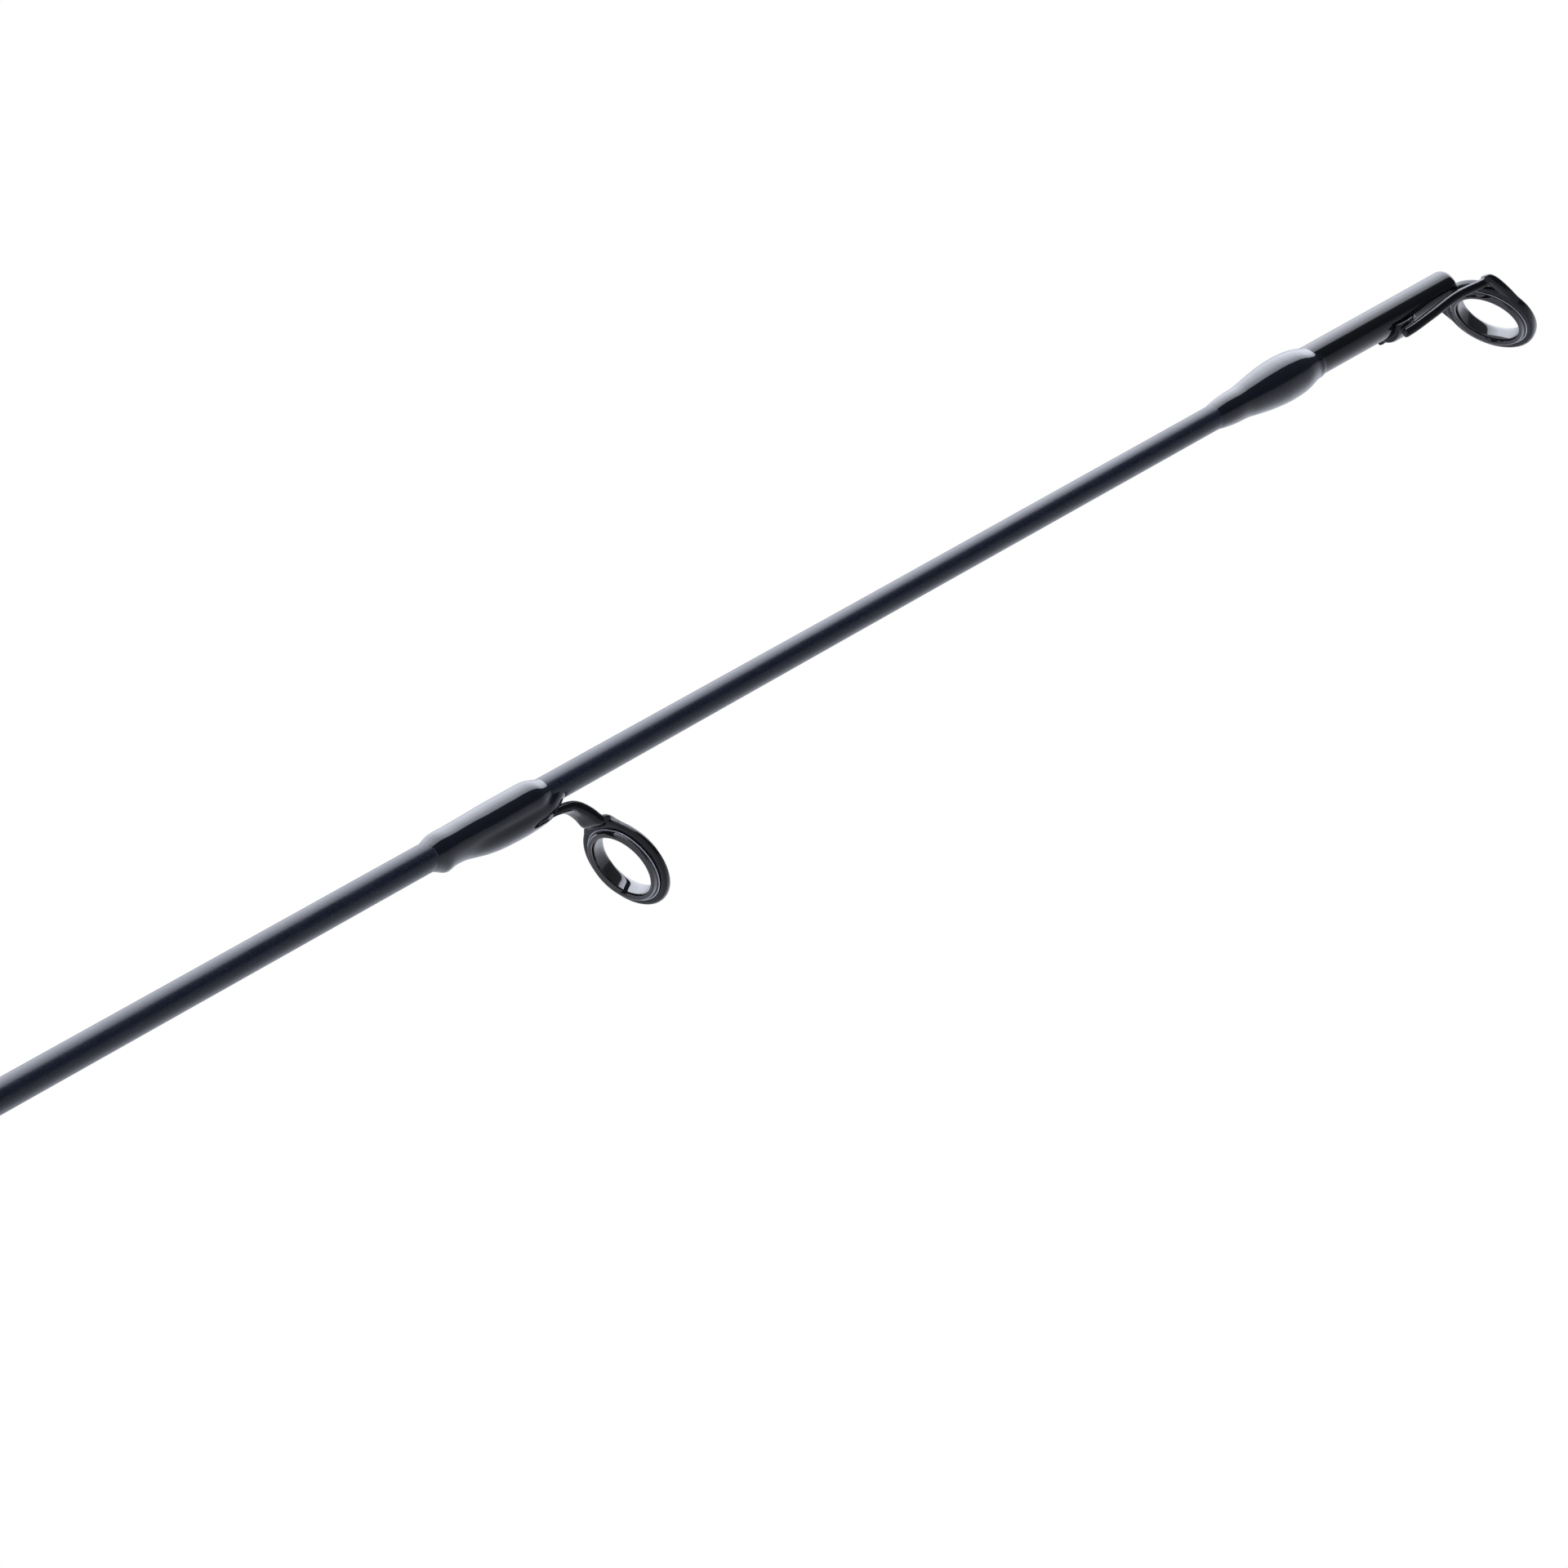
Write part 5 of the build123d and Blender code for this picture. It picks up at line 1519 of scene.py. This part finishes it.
@dataclass(frozen=True)
class Studio:
    """Camera, light and floor."""

    camera_place: Triple = (-0.6773, 0.0989, 1.0584)
    look: Triple = (0.7828, -0.1249, 0.6096)
    up: Triple = (-0.1612, 0.9055, 0.3926)
    lens: float = 241.5
    floor_colour: Triple = (0.34, 0.34, 0.35)
    floor_half: float = 30.0
    brightness: float = 6.0

    def build(self) -> None:
        """Places everything that isn't the object."""
        self._camera()
        self._world()
        self._floor()
        bpy.context.scene.view_settings.view_transform = "Standard"

    def _camera(self) -> None:
        """The main camera, a long lens that looks up at the rod's tip."""
        data = bpy.data.cameras.new("camera")
        data.lens = self.lens
        data.sensor_width = 36.0
        data.clip_start, data.clip_end = 0.05, 100.0
        back = -Vector(self.look).normalized()
        up = Vector(self.up)
        up = (up - up.dot(back) * back).normalized()
        right = up.cross(back)
        camera = placed("camera", data)
        turn = Matrix((right, up, back)).transposed().to_4x4()
        camera.matrix_world = Matrix.Translation(self.camera_place) @ turn
        bpy.context.scene.camera = camera

    def _world(self) -> None:
        """A white ground behind, and soft panels of light set round the rod by bearing."""
        world = bpy.data.worlds.new("studio")
        world.use_nodes = True
        tree = world.node_tree
        tree.nodes.clear()
        seen = add_node(tree, "ShaderNodeBackground", {"Color": (1, 1, 1, 1)})
        lit = add_node(tree, "ShaderNodeBackground", {"Color": self._panels(tree)})
        rays = add_node(tree, "ShaderNodeLightPath")
        mix = add_node(tree, "ShaderNodeMixShader",
                       {"Fac": rays.outputs["Is Camera Ray"], 1: lit.outputs[0], 2: seen.outputs[0]})
        add_node(tree, "ShaderNodeOutputWorld", {"Surface": mix.outputs[0]})
        bpy.context.scene.world = world

    def _panels(self, tree: bpy.types.NodeTree) -> Socket:
        """Light by compass bearing: a bright bank, a dark gap and a dimmer bank.

        Args:
            tree: the world's node tree.

        Returns:
            The light's colour.
        """
        direction = add_node(tree, "ShaderNodeTexCoord").outputs["Generated"]
        split = add_node(tree, "ShaderNodeSeparateXYZ", {0: direction}).outputs
        bearing = add_node(tree, "ShaderNodeMath", {0: split["Y"], 1: split["X"]}, operation="ARCTAN2")
        turn = Shader(tree).ramp(bearing.outputs[0], -math.pi, math.pi)
        ramp = add_node(tree, "ShaderNodeValToRGB", {"Fac": turn})
        self._fill_ramp(ramp.color_ramp)
        scale = add_node(tree, "ShaderNodeVectorMath",
                         {0: ramp.outputs["Color"], "Scale": self.brightness}, operation="SCALE")
        return scale.outputs["Vector"]

    @staticmethod
    def _fill_ramp(ramp: bpy.types.ColorRamp) -> None:
        """Panel levels by bearing in degrees, as shares of the brightest.

        Args:
            ramp: the colour ramp.
        """
        tint = (0.865, 0.90, 1.0)
        levels = [(-180, 0.02), (-167, 0.03), (-163, 0.07), (-150, 0.09), (-118, 0.15), (-96, 0.22),
                  (-70, 0.28), (-40, 0.20), (-20, 0.11), (-9, 0.05), (3, 0.09), (22, 0.30), (45, 0.6),
                  (60, 0.8), (88, 0.95), (118, 0.6), (124, 0.5), (127, 0.03), (180, 0.02)]
        while len(ramp.elements) < len(levels):
            ramp.elements.new(0.5)
        for element, (degrees, level) in zip(ramp.elements, levels):
            element.position = (degrees + 180) / 360
            element.color = (*[level * c for c in tint], 1)

    def _floor(self) -> None:
        """A plain pale floor under the butt cap."""
        data = bpy.data.meshes.new("floor")
        side = self.floor_half
        corners = [(-side, -side, 0), (side, -side, 0), (side, side, 0), (-side, side, 0)]
        data.from_pydata(corners, [], [(0, 1, 2, 3)])
        floor = placed("floor", data)
        material = bpy.data.materials.new("floor")
        material.use_nodes = True
        wire(material.node_tree, material.node_tree.nodes["Principled BSDF"],
             {"Base Color": (*self.floor_colour, 1), "Roughness": 0.9})
        data.materials.append(material)


# ----------------------------------------------------------------- main


CARRIED = {
    "hook_keeper": "black_steel", "cover_screws": "plain_steel", "rotor_nut": "plain_steel",
    "pivot_screws": "plain_steel", "roller_screw": "plain_steel", "main_shaft": "plain_steel",
    "knob_pin": "plain_steel", "bail_spring": "plain_steel", "drag_washers": "plain_steel",
    "drive_bearings": "bearing_steel", "pinion_bearing": "bearing_steel", "roller_clutch": "bearing_steel",
    "oscillation_gear": "zinc_gear", "oscillation_slider": "zinc_gear",
    "pinion": "gear_brass", "bail_wire": "polished_steel", "line_roller": "polished_steel",
}
SMALL_GUIDES = (("guide_1", 1567.8, 8.3, 3.5, 1.0), ("guide_2", 1450.0, 9.6, 4.0, 1.05),
                ("guide_3", 1300.0, 12.5, 5.0, 1.15))


def dress_carried(frame: dict, shop: Workshop) -> None:
    """Gives every CAD node that stays its own material.

    Args:
        frame: the loaded frame.
        shop: makes the pieces.
    """
    for node, finish in CARRIED.items():
        piece = frame["nodes"][node]
        piece.data.materials.clear()
        piece.data.materials.append(shop.materials[finish])


def main() -> None:
    """Builds every sub-assembly round the frame."""
    logging.basicConfig(level=logging.INFO, format="%(name)s: %(message)s")
    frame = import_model()
    Studio().build()
    shop = Workshop()
    dress_carried(frame, shop)
    blank = Blank()
    blank.build(shop)
    for name, z, drop, radius, scale in SMALL_GUIDES:
        SmallGuide(name, RingInsert(z, drop, radius), blank.tip_radius(z), scale).build(shop)
    stout, widest = RingInsert(1085.0, 18.5, 8.0), RingInsert(725.0, 27.0, 12.5)
    TallGuide("guide_4", stout, blank.tip_radius(stout.z), 1.45, Body.TIP).build(shop, frame)
    TallGuide("stripper", widest, blank.butt_radius(widest.z), 1.9, Body.ROOT).build(shop, frame)
    TipTop().build(shop)
    Handle(blank).build(shop, frame)
    Reel().build(shop, frame)


if __name__ == "__main__":
    main()
